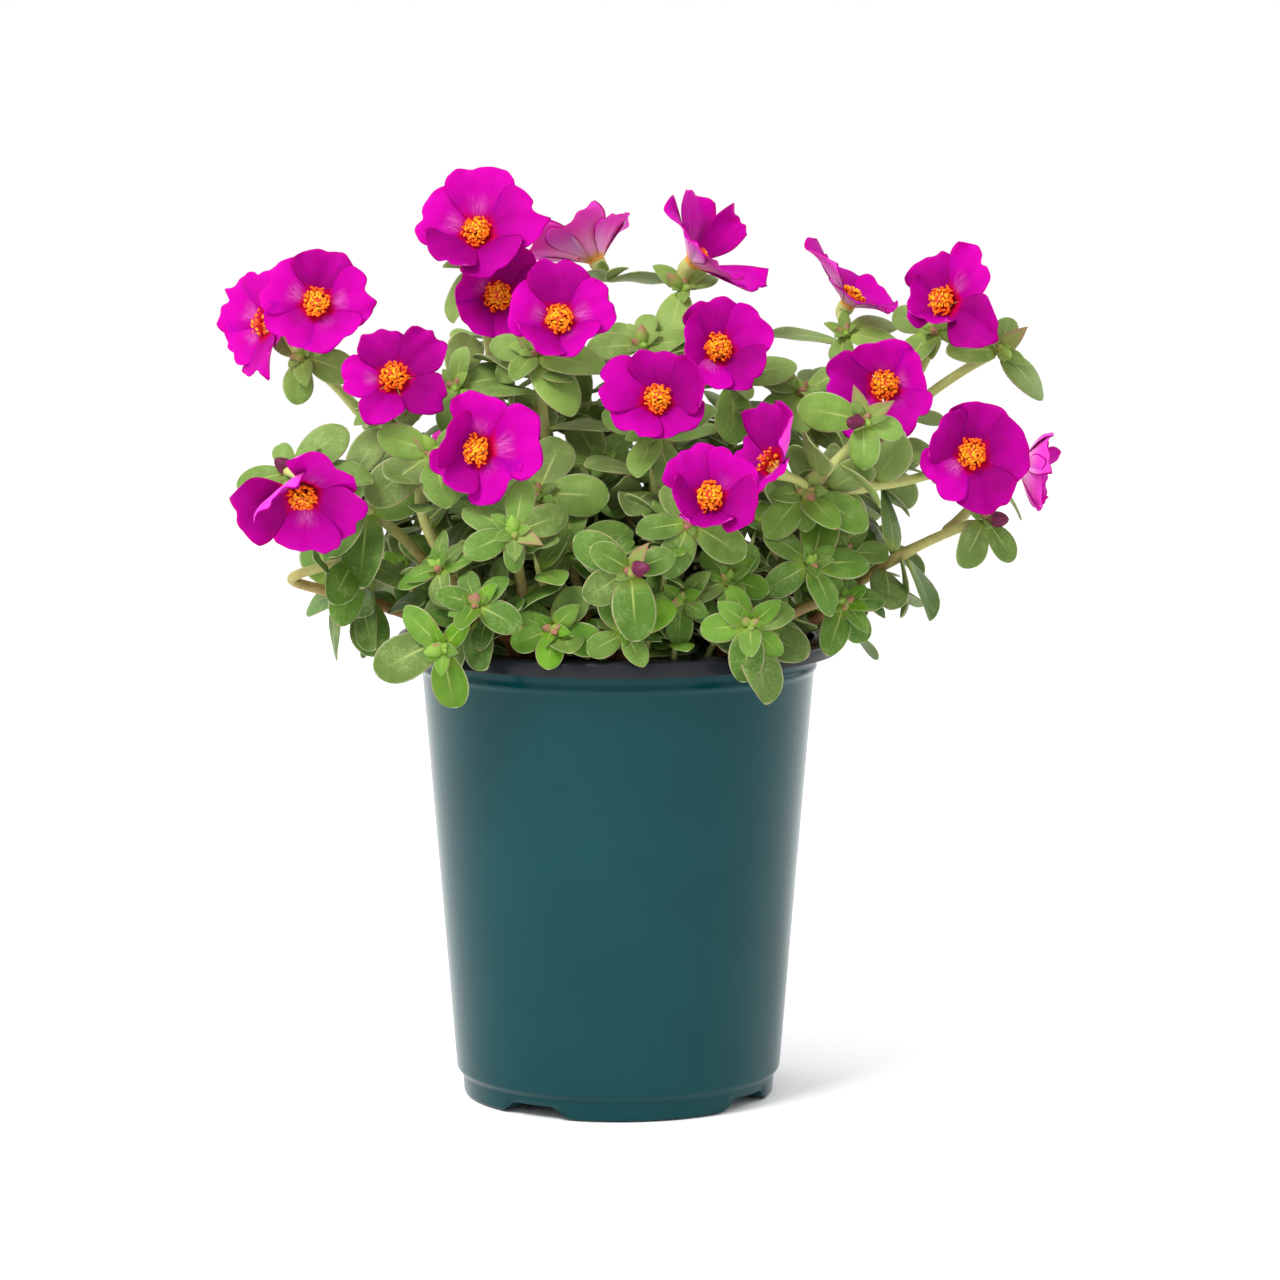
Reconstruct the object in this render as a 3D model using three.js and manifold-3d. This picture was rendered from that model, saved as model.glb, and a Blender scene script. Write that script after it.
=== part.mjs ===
// A moss rose (portulaca) growing in its nursery pot: a thermoformed pot, the soil in it, twelve
// branching leafy plants rooted in the soil, and twenty-two five-petalled blooms on them.
// Millimetres, +Z up. The origin is the middle of the face that the pot stands on.
// The front of the plant looks along -Y, with +X to the right.
import * as THREE from "three";
import { mergeVertices } from "three/addons/utils/BufferGeometryUtils.js";
import Module from "manifold-3d";

const wasm = await Module();
wasm.setup();

// ---------------------------------------------------------------- driving dimensions

const POT = {
  height: 178.8, // to the top of the rolled brim
  brimRadius: 85.2,
  brimBand: 6.2, // height of the turned-down lip
  neckRadius: 75.5, // the body's radius at neckHeight, just under the brim
  neckHeight: 166,
  shoulderRadius: 62.6, // the body's radius at shoulderHeight, where it steps in to the foot
  shoulderHeight: 9.8,
  footRadius: 59.8,
  footInner: 50,
  footHeight: 4.5, // clear height under the floor
  wall: 1.4,
  padRadius: 13, // middle of the floor, pressed down to the ground
  segments: 28,
};
const DRAIN = { count: 8, radius: 5, circle: 36, sides: 8 };
const NOTCH = { angles: [-123, -33, 57, 147], bottomDeg: 32, topDeg: 15, below: 1, past: 6 };
const SOIL = { top: 166, gap: 0.3, bump: 1.1, segments: 14, rings: 3 };
const CROWN = { radius: 4.2, depth: 16, above: 6, sides: 6, spread: 1.4, holeGap: 0.4 };
const STEM = { start: 2.4, end: 1.8, neck: 2.3, sides: 3, step: 50, turn: 45 };
const KNOB = { radius: 3.2, low: -1.8, high: 1.8 }; // the swollen end of a stem that bears a rosette
const HUB_SIDE = THREE.MathUtils.degToRad(30); // half the angle that one blade takes of its knob
const ROOT_CORNERS = [0.02, 0.48, 0.52, 0.98]; // how far round a blade's root its corners are
const LEAF = {
  halfWidth: 0.31, // as a share of the length
  thickness: 1.5,
  top: 0.3, // height of the upper face over the blade's midline
  rootHalf: 0.7, // half width and thickness where it starts
  rootThick: 1.2,
  root: 1.6, // distance of the start from a knob's middle
  sideRoot: 0.5, // and from the middle of a stem without a knob
  angle: 76, // degrees from the rosette's axis
  bend: 26, // degrees in all
  shortTo: 18.5, // a leaf up to this length has one section, and one over longFrom has three
  longFrom: 24,
  apart: 46, // least angle between two leaves that share a knob
};
const SEPAL = { halfWidth: 0.24, angle: 50 };
const BUD = { angle: 42, foot: 1, halfWidth: 2.4, sides: 4 };
const BLOOM = { radius: 3.3, low: 0.3, high: 2.3, start: 1.3, cup: 5 };
const PETAL_COLUMNS = [1, 0.5, 0, -0.5, -1]; // from side to side
const PETAL = {
  halfWidth: 0.59, // this and the shapes below are shares of the length
  thickness: 0.8,
  widest: 0.72, // how far along it is widest
  notch: 0.07, // depth of the cleft in its end
  round: 0.28, // how much shorter it is at its sides
  cupped: 0.09, // how far its sides turn up
  twist: 0.14,
  wave: 0.04,
};
const STAMENS = {
  around: 8, // alternately notches and teeth
  gap: 0.3, // over the petals' base
  foot: { radii: [1.9, 1.9], heights: [0, 0] },
  outer: { radii: [4.4, 6.6], heights: [2.6, 4] },
  inner: { radii: [3.4, 2.4], heights: [5.6, 4.2] },
  middle: 5,
};
const CLEAR = 2.1; // least distance between the sample points of two nodes
const SAMPLE = 1.6; // greatest distance between neighbouring sample points of one face

// ---------------------------------------------------------------- colours

const finish = (color, roughness) => new THREE.MeshStandardMaterial({ color, roughness, metalness: 0 });
const MATERIAL = {
  pot: finish(0x1c5458, 0.3),
  soil: finish(0x17120f, 0.95),
  plant: finish(0x6f8f52, 0.55),
  petals: finish(0xd000b4, 0.5),
  stamens: finish(0xf27a12, 0.6),
};

// ---------------------------------------------------------------- the plants
// A stem is [parent, t, start direction, end point, end direction]: it leaves the crown (parent -1)
// or its parent stem at t, and a cubic curve takes it to its end point.
// A rosette is { at: [stem, t], axis, leaves: [[clock, length, angle], ...], buds, sepals }. Leaves
// stand round its axis like the hands of a clock: 0 points up and 90 to the right, seen along the
// axis from outside, and angle is the leaf's own angle to the axis.

const PLANTS = [
  {
    name: "left",
    root: [-46, 0],
    stems: [
      [-1, 0, [-4, 0, 10], [-121, 4, 285], [-7, -3, 6]],
      [-1, 0, [-5, -4, 9], [-121, -56, 246], [-8, -3, 3]],
      [-1, 0, [-9, -4, 8], [-99, -42, 212], [9, 0, 2], 62],
      [0, 0.45, [-6, 3, 5], [-104, 26, 226], [-6, 2, 6]],
    ],
    rosettes: [
      { at: [0, 1], axis: [-2, -8, 3], leaves: [[185, 18], [112, 22], [72, 26], [300, 16]] },
      { at: [0, 0.8], axis: [-4, -2, 8], leaves: [[90, 20]] },
      { at: [0, 0.55], axis: [-4, -2, 8], leaves: [[60, 22], [230, 22]] },
      { at: [1, 1], axis: [-3, -7, 6],
        leaves: [[258, 21], [48, 25], [96, 30], [200, 20], [330, 14]], buds: [[300, 7]] },
      { at: [1, 0.72], axis: [-2, -8, 4], leaves: [[185, 30, 84], [80, 20]] },
      { at: [2, 1], axis: [3, -6, 6], leaves: [[180, 26, 88], [210, 24], [120, 22], [20, 14]] },
      { at: [2, 0.35], axis: [-4, -7, 4], leaves: [[170, 22, 88]] },
      { at: [3, 1], axis: [-7, 3, 6], leaves: [[0, 24], [85, 24], [170, 26], [260, 24]] },
    ],
  },
  {
    name: "front_left",
    root: [-34, -42],
    stems: [
      [-1, 0, [-4, -2, 10], [-68, -52, 253], [6, 1, 7]],
      [0, 0.9, [-6, 5, 6], [-86, -22, 268], [-2, -2, 8]],
      [-1, 0, [1, -5, 9], [-38, -77, 226], [0, -7, 6]],
      [-1, 0, [-3, -6, 9], [-64, -82, 184], [-3, -7, -4], 34],
      [0, 0.35, [-5, -6, 6], [-66, -70, 212], [-4, -6, 6]],
      [2, 0.35, [-4, -8, 4], [-52, -82, 200], [-3, -8, 3]],
    ],
    rosettes: [
      { at: [0, 1], axis: [-3, -8, 5],
        leaves: [[232, 30, 86], [254, 27], [180, 23], [120, 20]], buds: [[330, 7]], sepals: [[310, 12]] },
      { at: [1, 1], axis: [-3, -7, 5],
        leaves: [[200, 25, 88], [330, 24], [40, 18], [120, 16]], buds: [[262, 8]] },
      { at: [2, 1], axis: [0, -9, 4],
        leaves: [[300, 21], [10, 20], [65, 19], [246, 19], [180, 14]], buds: [[350, 6]],
        sepals: [[122, 13]] },
      { at: [2, 0.55], axis: [-2, -7, 6], leaves: [[100, 20]] },
      { at: [3, 1], axis: [-3, -9, 1],
        leaves: [[178, 22, 92], [318, 20], [285, 19], [40, 15]], buds: [[255, 7]] },
      { at: [4, 1], axis: [-4, -8, 5], leaves: [[0, 14], [80, 13], [165, 15], [250, 16], [310, 14]] },
      { at: [5, 1], axis: [-1, -9, 4], leaves: [[120, 18], [200, 15], [270, 15], [340, 13], [50, 14]] },
    ],
  },
  {
    name: "centre_left",
    root: [-20, -2],
    stems: [
      [-1, 0, [-1, -1, 10], [-31, -20, 288], [-1, -4, 8]],
      [-1, 0, [-2, 2, 10], [-54, 13, 319], [-1, 0, 10]],
      [-1, 0, [0, 4, 10], [-43, 28, 288], [0, -3, 8]],
      [1, 0.66, [-4, -4, 6], [-62, -10, 274], [-3, -3, 9]],
      [0, 0.4, [-3, -5, 6], [-30, -38, 236], [-2, -7, 7]],
    ],
    rosettes: [
      { at: [0, 1], axis: [-1, -7, 6],
        leaves: [[150, 28, 92], [205, 16], [282, 17], [250, 19], [112, 28]],
        sepals: [[318, 14]] },
      { at: [0, 0.62], axis: [0, -4, 8], leaves: [[80, 22], [260, 22]] },
      { at: [1, 1], axis: [0, -5, 8], leaves: [[200, 24, 140], [90, 16], [320, 16]], sepals: [[275, 10]] },
      { at: [2, 1], axis: [0, 3, 9], leaves: [[40, 22], [120, 22], [250, 22], [320, 20]] },
      { at: [3, 1], axis: [-2, -8, 5], leaves: [[8, 24], [75, 22], [22, 15, 50], [285, 16], [180, 20]] },
      { at: [4, 1], axis: [-1, -8, 6], leaves: [[20, 24], [95, 26], [180, 22], [265, 24], [320, 20]] },
    ],
  },
  {
    name: "centre",
    root: [12, -20],
    stems: [
      [-1, 0, [0, 0, 10], [14, -30, 259], [0, -3, 8]],
      [-1, 0, [0, 4, 10], [9, 12, 288], [-1, -1, 9]],
      [-1, 0, [2, -5, 9], [27, -71, 229], [1, -7, 6]],
      [0, 0.5, [-4, -1, 8], [-6, -14, 244], [-3, -4, 8]],
    ],
    rosettes: [
      { at: [0, 1], axis: [0, -8, 5], leaves: [[162, 25, 90], [196, 22], [68, 24], [290, 20]] },
      { at: [1, 1], axis: [0, -7, 6],
        leaves: [[265, 20], [300, 18], [10, 14], [85, 20], [140, 20]], buds: [[0, 7]] },
      { at: [1, 0.65], axis: [1, 1, 9], leaves: [[90, 24]] },
      { at: [2, 1], axis: [0, -9, 4], leaves: [[260, 19], [204, 21], [124, 23], [310, 16], [40, 14]] },
      { at: [2, 0.55], axis: [1, -7, 7], leaves: [[280, 22]] },
      { at: [3, 1], axis: [-1, -8, 5], leaves: [[90, 26], [160, 22], [270, 20], [330, 22], [30, 18]] },
    ],
  },
  {
    name: "front",
    root: [-4, -54],
    stems: [
      [-1, 0, [1, -3, 9], [5, -85, 213], [0, -8, 5]],
      [-1, 0, [-4, -5, 8], [-24, -76, 190], [-3, -9, 1]],
      [-1, 0, [4, -6, 8], [3, -80, 189], [-3, -8, 1]],
      [-1, 0, [-2, 3, 10], [-18, -50, 216], [-1, -4, 9]],
    ],
    rosettes: [
      { at: [0, 1], axis: [0, -9, 3],
        leaves: [[300, 23], [282, 19, 64], [254, 19], [176, 25, 84], [70, 16]], buds: [[90, 8]],
        sepals: [[38, 13]] },
      { at: [1, 1], axis: [-1, -9, 2], leaves: [[172, 16], [110, 19], [250, 15], [310, 17], [40, 18]] },
      { at: [2, 1], axis: [0, -9, 2], leaves: [[242, 15], [140, 15], [60, 20], [330, 18]] },
      { at: [3, 1], axis: [0, -7, 7], leaves: [[0, 22], [70, 24], [290, 24], [230, 20], [130, 20]] },
    ],
  },
  {
    name: "front_right",
    root: [38, -44],
    stems: [
      [-1, 0, [1, -3, 10], [49, -80, 192], [1, -9, 1], 20],
      [-1, 0, [0, -3, 10], [42, -66, 207], [-1, -8, 4]],
      [-1, 0, [7, -3, 9], [85, -44, 196], [7, -5, -1]],
      [1, 0.4, [-5, -4, 6], [24, -66, 200], [-4, -8, 3]],
    ],
    rosettes: [
      { at: [0, 1], axis: [0, -9, 2],
        leaves: [[187, 20], [165, 15, 60], [72, 16], [265, 17], [318, 15], [120, 16]] },
      { at: [1, 1], axis: [-1, -8, 5], leaves: [[320, 15], [245, 17], [20, 15], [95, 14], [180, 15]] },
      { at: [2, 1], axis: [3, -8, 3], leaves: [[200, 21], [80, 15], [132, 17], [322, 15], [20, 16]] },
      { at: [2, 0.5], axis: [2, -6, 7], leaves: [[250, 20]] },
      { at: [3, 1], axis: [-2, -9, 2], leaves: [[255, 22], [300, 18], [200, 16], [60, 16], [120, 16]] },
    ],
  },
  {
    name: "right",
    root: [52, -20],
    stems: [
      [-1, 0, [0, -3, 10], [70, -49, 238], [4, -4, 7]],
      [0, 0.97, [9, 3, 2], [126, -22, 245], [7, -1, 3]],
      [0, 0.97, [6, -1, 8], [92, -50, 265], [2, -4, 8]],
      [0, 0.75, [4, 8, 3], [104, -5, 263], [0, -3, 8]],
      [0, 0.45, [3, -6, 5], [72, -58, 212], [4, -8, 3]],
    ],
    rosettes: [
      { at: [0, 1], axis: [1, -9, 4],
        leaves: [[220, 22], [120, 26], [150, 22, 60], [180, 14], [280, 14]], buds: [[150, 6]],
        sepals: [[42, 14]] },
      { at: [1, 1], axis: [3, -4, 8], leaves: [[290, 20], [255, 18], [60, 18], [140, 18]] },
      { at: [2, 1], axis: [0, -9, 4],
        leaves: [[180, 18], [282, 24], [110, 14]], buds: [[240, 9]], sepals: [[342, 13], [62, 13]] },
      { at: [3, 1], axis: [1, 2, 8], leaves: [[60, 20], [130, 20], [240, 20], [330, 20]] },
      { at: [4, 1], axis: [3, -8, 4], leaves: [[20, 22], [85, 22], [160, 20], [240, 20], [310, 20]] },
      { at: [1, 0.4], axis: [0, -4, 8], leaves: [[30, 24]] },
    ],
  },
  {
    name: "right_low",
    root: [58, 2],
    stems: [
      [-1, 0, [7, -2, 8], [139, -22, 225], [9, -1, 3]],
      [0, 0.82, [7, 6, 3], [146, 0, 236], [7, 2, 4]],
      [0, 0.3, [5, 6, 5], [98, 18, 214], [7, 4, 5]],
      [0, 0.3, [3, -3, 8], [86, -22, 212], [3, -5, 7]],
    ],
    rosettes: [
      { at: [0, 1], axis: [4, -7, 3], leaves: [[212, 22], [160, 18], [320, 14]], buds: [[100, 8]] },
      { at: [0, 0.66], axis: [9, 0, 3], leaves: [[180, 24, 95]] },
      { at: [1, 1], axis: [5, 3, 7], leaves: [[20, 18], [100, 16], [200, 18], [300, 18]] },
      { at: [2, 1], axis: [6, 2, 7], leaves: [[0, 22], [85, 22], [175, 24], [265, 22]] },
      { at: [3, 1], axis: [2, -8, 5], leaves: [[320, 20], [20, 18], [90, 16], [200, 18], [260, 18]] },
    ],
  },
  {
    name: "right_back",
    root: [44, 20],
    stems: [
      [-1, 0, [2, 2, 10], [88, 36, 291], [1, -1, 9]],
      [0, 0.6, [2, -6, 5], [71, 4, 271], [0, -4, 8]],
      [-1, 0, [5, 1, 9], [147, 18, 286], [8, -1, 4]],
      [2, 0.68, [1, 3, 8], [121, 24, 293], [-1, -2, 9]],
      [2, 0.35, [5, 5, 5], [100, 46, 240], [6, 5, 5]],
    ],
    rosettes: [
      { at: [0, 0.97], axis: [-1, 0, 9], leaves: [[268, 31, 66]] },
      { at: [0, 1], axis: [0, -7, 6], leaves: [[108, 22], [75, 24], [190, 14]] },
      { at: [0, 0.55], axis: [2, 2, 8], leaves: [[80, 24]] },
      { at: [1, 1], axis: [0, -7, 6], leaves: [[300, 22], [60, 22], [262, 20], [110, 20], [180, 18]] },
      { at: [2, 1], axis: [3, -7, 4],
        leaves: [[140, 24], [262, 22], [20, 14]], buds: [[170, 7]], sepals: [[50, 13]] },
      { at: [3, 1], axis: [-1, -7, 6], leaves: [[208, 20], [108, 24], [40, 18], [300, 16]] },
      { at: [4, 1], axis: [5, 6, 6], leaves: [[0, 24], [85, 24], [175, 24], [265, 24]] },
    ],
  },
  {
    name: "back_centre",
    root: [8, 24],
    stems: [
      [-1, 0, [-1, 1, 10], [-6, 42, 311], [-1, 0, 9]],
      [-1, 0, [1, 1, 10], [25, 29, 309], [0, 0, 10]],
      [-1, 0, [3, -2, 10], [44, 4, 276], [1, -3, 9]],
      [0, 0.5, [-3, 6, 6], [-14, 56, 258], [-2, 7, 7]],
    ],
    rosettes: [
      { at: [0, 1], axis: [0, 2, 8], leaves: [[80, 24], [200, 18], [300, 18]] },
      { at: [1, 1], axis: [0, -7, 6], leaves: [[195, 22, 100], [60, 14], [30, 14]], buds: [[290, 8]] },
      { at: [1, 0.6], axis: [1, 2, 8], leaves: [[80, 22]] },
      { at: [2, 1], axis: [0, -7, 6], leaves: [[180, 26, 88], [85, 24], [285, 18], [130, 20]] },
      { at: [3, 1], axis: [0, 8, 5], leaves: [[10, 24], [95, 24], [185, 24], [275, 24]] },
    ],
  },
  {
    name: "back_left",
    root: [-34, 36],
    stems: [
      [-1, 0, [-3, 4, 9], [-58, 66, 226], [-3, 6, 6]],
      [-1, 0, [2, 5, 9], [-14, 84, 196], [0, 8, 4]],
      [-1, 0, [-8, 3, 7], [-82, 42, 204], [-7, 5, 4]],
      [0, 0.5, [-5, -1, 6], [-76, 40, 240], [-5, 3, 7]],
      [-1, 0, [-2, 7, 6], [-42, 80, 192], [-3, 8, 1]],
    ],
    rosettes: [
      { at: [0, 1], axis: [-3, 8, 5],
        leaves: [[20, 22], [105, 22], [190, 24], [270, 24]], buds: [[330, 7]] },
      { at: [1, 1], axis: [0, 8, 4], leaves: [[40, 22], [120, 24], [200, 24], [300, 22]] },
      { at: [2, 1], axis: [-7, 5, 5], leaves: [[0, 24], [80, 24], [160, 24], [250, 24]] },
      { at: [3, 1], axis: [-4, 4, 8], leaves: [[0, 24], [85, 26], [175, 24], [265, 26]] },
      { at: [4, 1], axis: [-3, 9, 2], leaves: [[180, 22], [100, 20], [260, 20], [350, 18]] },
    ],
  },
  {
    name: "back_right",
    root: [20, 46],
    stems: [
      [-1, 0, [2, 4, 9], [34, 80, 217], [1, 8, 5]],
      [-1, 0, [6, 2, 8], [66, 52, 206], [6, 6, 5]],
      [-1, 0, [-1, 7, 6], [8, 86, 190], [-1, 9, 1]],
      [1, 0.5, [5, 3, 6], [74, 30, 222], [6, 2, 6]],
      [0, 0.5, [3, 3, 7], [44, 60, 240], [3, 5, 8]],
    ],
    rosettes: [
      { at: [0, 1], axis: [1, 8, 5], leaves: [[10, 22], [95, 22], [180, 24], [270, 24]] },
      { at: [1, 1], axis: [6, 6, 4], leaves: [[30, 22], [110, 24], [200, 24], [290, 22]] },
      { at: [2, 1], axis: [0, 9, 2], leaves: [[180, 22], [100, 20], [260, 20], [10, 18]] },
      { at: [3, 1], axis: [7, 2, 6], leaves: [[0, 24], [85, 22], [175, 24], [265, 24]] },
      { at: [4, 1], axis: [2, 6, 7], leaves: [[0, 24], [85, 26], [175, 24], [265, 24]], buds: [[40, 7]] },
    ],
  },
];

// A bloom is [plant, stem whose end bears it, middle of its cup, direction it faces, clock angle of
// its first petal, petal length, angle of the petals to its plane at their root and at their end,
// and half a petal's width as a share of its length where it isn't PETAL.halfWidth].
const BLOOMS = [
  ["left", 0, [-137, 12, 297], [-7, -6, 2], 20, 18.5, 35, 5],
  ["left", 0, [-114, -18, 307], [0, -9, 3], 10, 19.5, 32, -6],
  ["front_left", 1, [-84, -42, 281], [0, -8, 5], -20, 18.5, 34, 0, 0.5],
  ["left", 1, [-116, -80, 240], [-1, -8, -5], 36, 21.5, 40, 5],
  ["centre_left", 1, [-54, 0, 333], [-1, -8, 5], 5, 20.5, 36, -4],
  ["centre_left", 2, [-46, 2, 308], [1, -9, 2], 15, 18.5, 36, 0],
  ["centre_left", 0, [-22, -34, 302], [0, -9, 4], 0, 18, 36, -4],
  ["back_centre", 0, [-10, 46, 322], [-4, 3, 8], 30, 19.5, 54, 8],
  ["back_centre", 1, [31, 26, 321.5], [7, -3, 6], 5, 20.5, 50, 14, 0.46],
  ["back_centre", 2, [38, -18, 290], [0, -9, 4], -10, 18.5, 36, 0],
  ["centre", 0, [15, -46, 273], [0, -8, 5], 0, 18.5, 36, 0],
  ["front_left", 0, [-52, -70, 256], [-3, -9, 2], 12, 18.5, 36, -4],
  ["centre", 2, [34, -92, 241], [-1, -8, 4], 40, 17.5, 38, 0],
  ["right", 0, [56, -62, 251], [-6, -5, 6], 0, 16, 46, 8],
  ["right_back", 0, [91, 42, 305], [5, -1.5, 8], 20, 18.5, 50, 2],
  ["right_back", 3, [124, 6, 306], [-5, -8, 4], 55, 17.5, 38, 0],
  ["right", 3, [101, -20, 276], [-1, -9, 3], 0, 18, 36, 0],
  ["right", 1, [133, -42, 252], [0, -9, 2], 15, 19, 32, -6],
  ["right_low", 1, [158, 2, 242], [8, -1, -1], 10, 18, 40, 5],
  ["back_left", 0, [-60, 80, 236], [-3, 8, 4], 10, 18.5, 36, 0],
  ["back_left", 1, [-13, 100, 204], [0, 9, 3], 30, 18.5, 36, -2],
  ["back_right", 0, [36, 96, 226], [1, 8, 4], 0, 18.5, 36, 0],
];

// How a leaf that would touch another plant is bent: changes of its angle to the axis and of its
// clock angle, in degrees, and of its length.
const BENDS = [
  [0, 0, 1], [12, 0, 1], [-12, 0, 1], [0, 16, 1], [0, -16, 1], [20, 12, 0.95], [20, -12, 0.95],
  [-20, 12, 0.95], [-20, -12, 0.95], [0, 32, 0.9], [0, -32, 0.9], [30, 0, 0.9], [-30, 0, 0.9],
  [24, 30, 0.8], [24, -30, 0.8], [-24, 30, 0.8], [-24, -30, 0.8], [0, 0, 0.75], [0, 48, 0.8],
  [0, -48, 0.8], [34, 0, 0.7], [-36, 0, 0.7], [0, 0, 0.6], [20, 20, 0.6], [-20, -20, 0.6],
];

// ---------------------------------------------------------------- small tools

const rad = THREE.MathUtils.degToRad;
const V = (x, y, z) => new THREE.Vector3(x, y, z);
const vector = (list) => new THREE.Vector3(...list);
const unit = (list) => vector(list).normalize();

// Repeatable draws between 0 and 1.
function draws(seed) {
  let state = seed;
  return () => {
    state = (state * 1664525 + 1013904223) % 4294967296;
    return state / 4294967296;
  };
}

// A frame at a point, facing along an axis: Z is the axis, Y the upward way across it, X its right.
function facing(point, axis) {
  const z = axis.clone().normalize();
  const y = V(0, 0.35, 1).addScaledVector(z, -z.dot(V(0, 0.35, 1))).normalize();
  const x = y.clone().cross(z);
  return new THREE.Matrix4().makeBasis(x, y, z).setPosition(point);
}

// The cubic curve between two points that leaves along one direction and arrives along another.
function bow(from, startDir, to, endDir, handle = 0.36 * from.distanceTo(to)) {
  const leave = from.clone().addScaledVector(startDir, handle);
  const arrive = to.clone().addScaledVector(endDir, -handle);
  return new THREE.CubicBezierCurve3(from, leave, arrive, to);
}

// A closed surface from rings of points that run counter-clockwise about the way they follow each
// other; a ring of one point is a tip.
function loft(rings) {
  const points = [];
  const index = [];
  let previous = null;
  for (const ring of rings) {
    const start = points.length;
    points.push(...ring);
    const now = ring.map((_, i) => start + i);
    if (!previous) for (let i = 1; i < now.length - 1; i++) index.push(now[0], now[i + 1], now[i]);
    else {
      const count = Math.max(previous.length, now.length);
      for (let i = 0; i < count; i++) {
        const j = (i + 1) % count;
        if (now.length === 1) index.push(previous[i], previous[j], now[0]);
        else index.push(previous[i], previous[j], now[j], previous[i], now[j], now[i]);
      }
    }
    previous = now;
  }
  for (let i = 1; i < previous.length - 1; i++) index.push(previous[0], previous[i], previous[i + 1]);
  return surface(points, index);
}

function surface(points, index) {
  return new THREE.BufferGeometry().setFromPoints(points).setIndex(index);
}

// A ring for zip: its points' numbers, and how far round each one is, from 0 to 1.
const ringOf = (ids, at) => ids.map((id, i) => ({ id, at: at[i] }));

// The faces between two rings with any numbers of points, each ring counter-clockwise about the
// way from the first to the second.
function zip(index, first, second) {
  const at = (ring, i) => ring[i % ring.length].at + Math.floor(i / ring.length);
  const id = (ring, i) => ring[i % ring.length].id;
  let [i, j] = [0, 0];
  while (i < first.length || (second.length > 1 && j < second.length)) {
    const firstDone = i >= first.length;
    const secondDone = second.length === 1 || j >= second.length;
    if (firstDone || (!secondDone && at(second, j + 1) <= at(first, i + 1))) {
      index.push(id(first, i), id(second, j + 1), id(second, j));
      j += 1;
    } else {
      index.push(id(first, i), id(first, i + 1), id(second, j));
      i += 1;
    }
  }
}

// The skin of a blade from the four corners of its root, upper left first and clockwise seen from
// outside, over its rings to its end. Its rings are { points, order, at }: order lists the points
// round the ring, and at how far round each one is.
function growBlade(points, index, corners, rings) {
  let last = ringOf(corners, ROOT_CORNERS);
  for (const ring of rings) {
    const placed = ring.points.map((p) => points.push(p) - 1);
    const now = ringOf(ring.order.map((k) => placed[k]), ring.at);
    zip(index, last, now);
    last = now;
  }
}

// Blades that grow out of the sides of a short many-sided hub, as one closed surface. A blade has the
// angle at which it leaves the hub and its rings, in the hub's frame; they are given counter-clockwise.
function whorl(hub, blades) {
  const points = [];
  const index = [];
  const corner = (angle) => {
    const put = (z) => points.push(V(hub.radius * Math.cos(angle), hub.radius * Math.sin(angle), z)) - 1;
    return { high: put(hub.high), low: put(hub.low) };
  };
  const rim = [];
  const left = [];
  const right = [];
  blades.forEach(({ angle }, i) => {
    const next = (i + 1) % blades.length;
    const gap = (blades[next].angle - angle + 4 * Math.PI) % (2 * Math.PI) || 2 * Math.PI;
    const from = rim.length;
    if (gap <= 2 * HUB_SIDE) rim.push(corner(angle + gap / 2));
    else {
      rim.push(corner(angle + HUB_SIDE));
      if (gap > Math.PI) rim.push(corner(angle + gap / 2));
      rim.push(corner(angle + gap - HUB_SIDE));
    }
    left[i] = rim[from];
    right[next] = rim[rim.length - 1];
    for (let k = from; k < rim.length - 1; k++) {
      index.push(rim[k].low, rim[k + 1].low, rim[k + 1].high, rim[k].low, rim[k + 1].high, rim[k].high);
    }
  });
  for (let k = 1; k < rim.length - 1; k++) {
    index.push(rim[0].high, rim[k].high, rim[k + 1].high, rim[0].low, rim[k + 1].low, rim[k].low);
  }
  blades.forEach(({ rings }, i) => {
    growBlade(points, index, [left[i].high, right[i].high, right[i].low, left[i].low], rings);
  });
  return surface(points, index);
}

// A closed geometry as a solid that can be joined and cut.
function solid(geometry) {
  geometry.deleteAttribute("normal");
  geometry.deleteAttribute("uv");
  const merged = mergeVertices(geometry, 1e-4);
  const vertProperties = new Float32Array(merged.attributes.position.array);
  const triVerts = new Uint32Array(merged.index.array);
  return new wasm.Manifold(new wasm.Mesh({ numProp: 3, vertProperties, triVerts }));
}

const join = (solids) => solids.reduce((sum, next) => sum.add(next));

function meshOf(name, made, material) {
  const { numProp, vertProperties, triVerts } = made.getMesh();
  const geometry = new THREE.BufferGeometry();
  const count = vertProperties.length / numProp;
  const xyz = new Float32Array(count * 3);
  for (let i = 0; i < count; i++) {
    xyz.set(vertProperties.subarray(i * numProp, i * numProp + 3), i * 3);
  }
  geometry.setAttribute("position", new THREE.BufferAttribute(xyz, 3));
  geometry.setIndex(new THREE.BufferAttribute(triVerts, 1));
  geometry.computeVertexNormals();
  const mesh = new THREE.Mesh(geometry, material);
  mesh.name = name;
  return mesh;
}

// ---------------------------------------------------------------- room between the plants
// Every placed surface leaves sample points in a grid of cells, with the name of what owns it.

const cells = new Map();
const cellKey = (x, y, z) => (x + 512) * 1048576 + (y + 512) * 1024 + z + 512;

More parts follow.
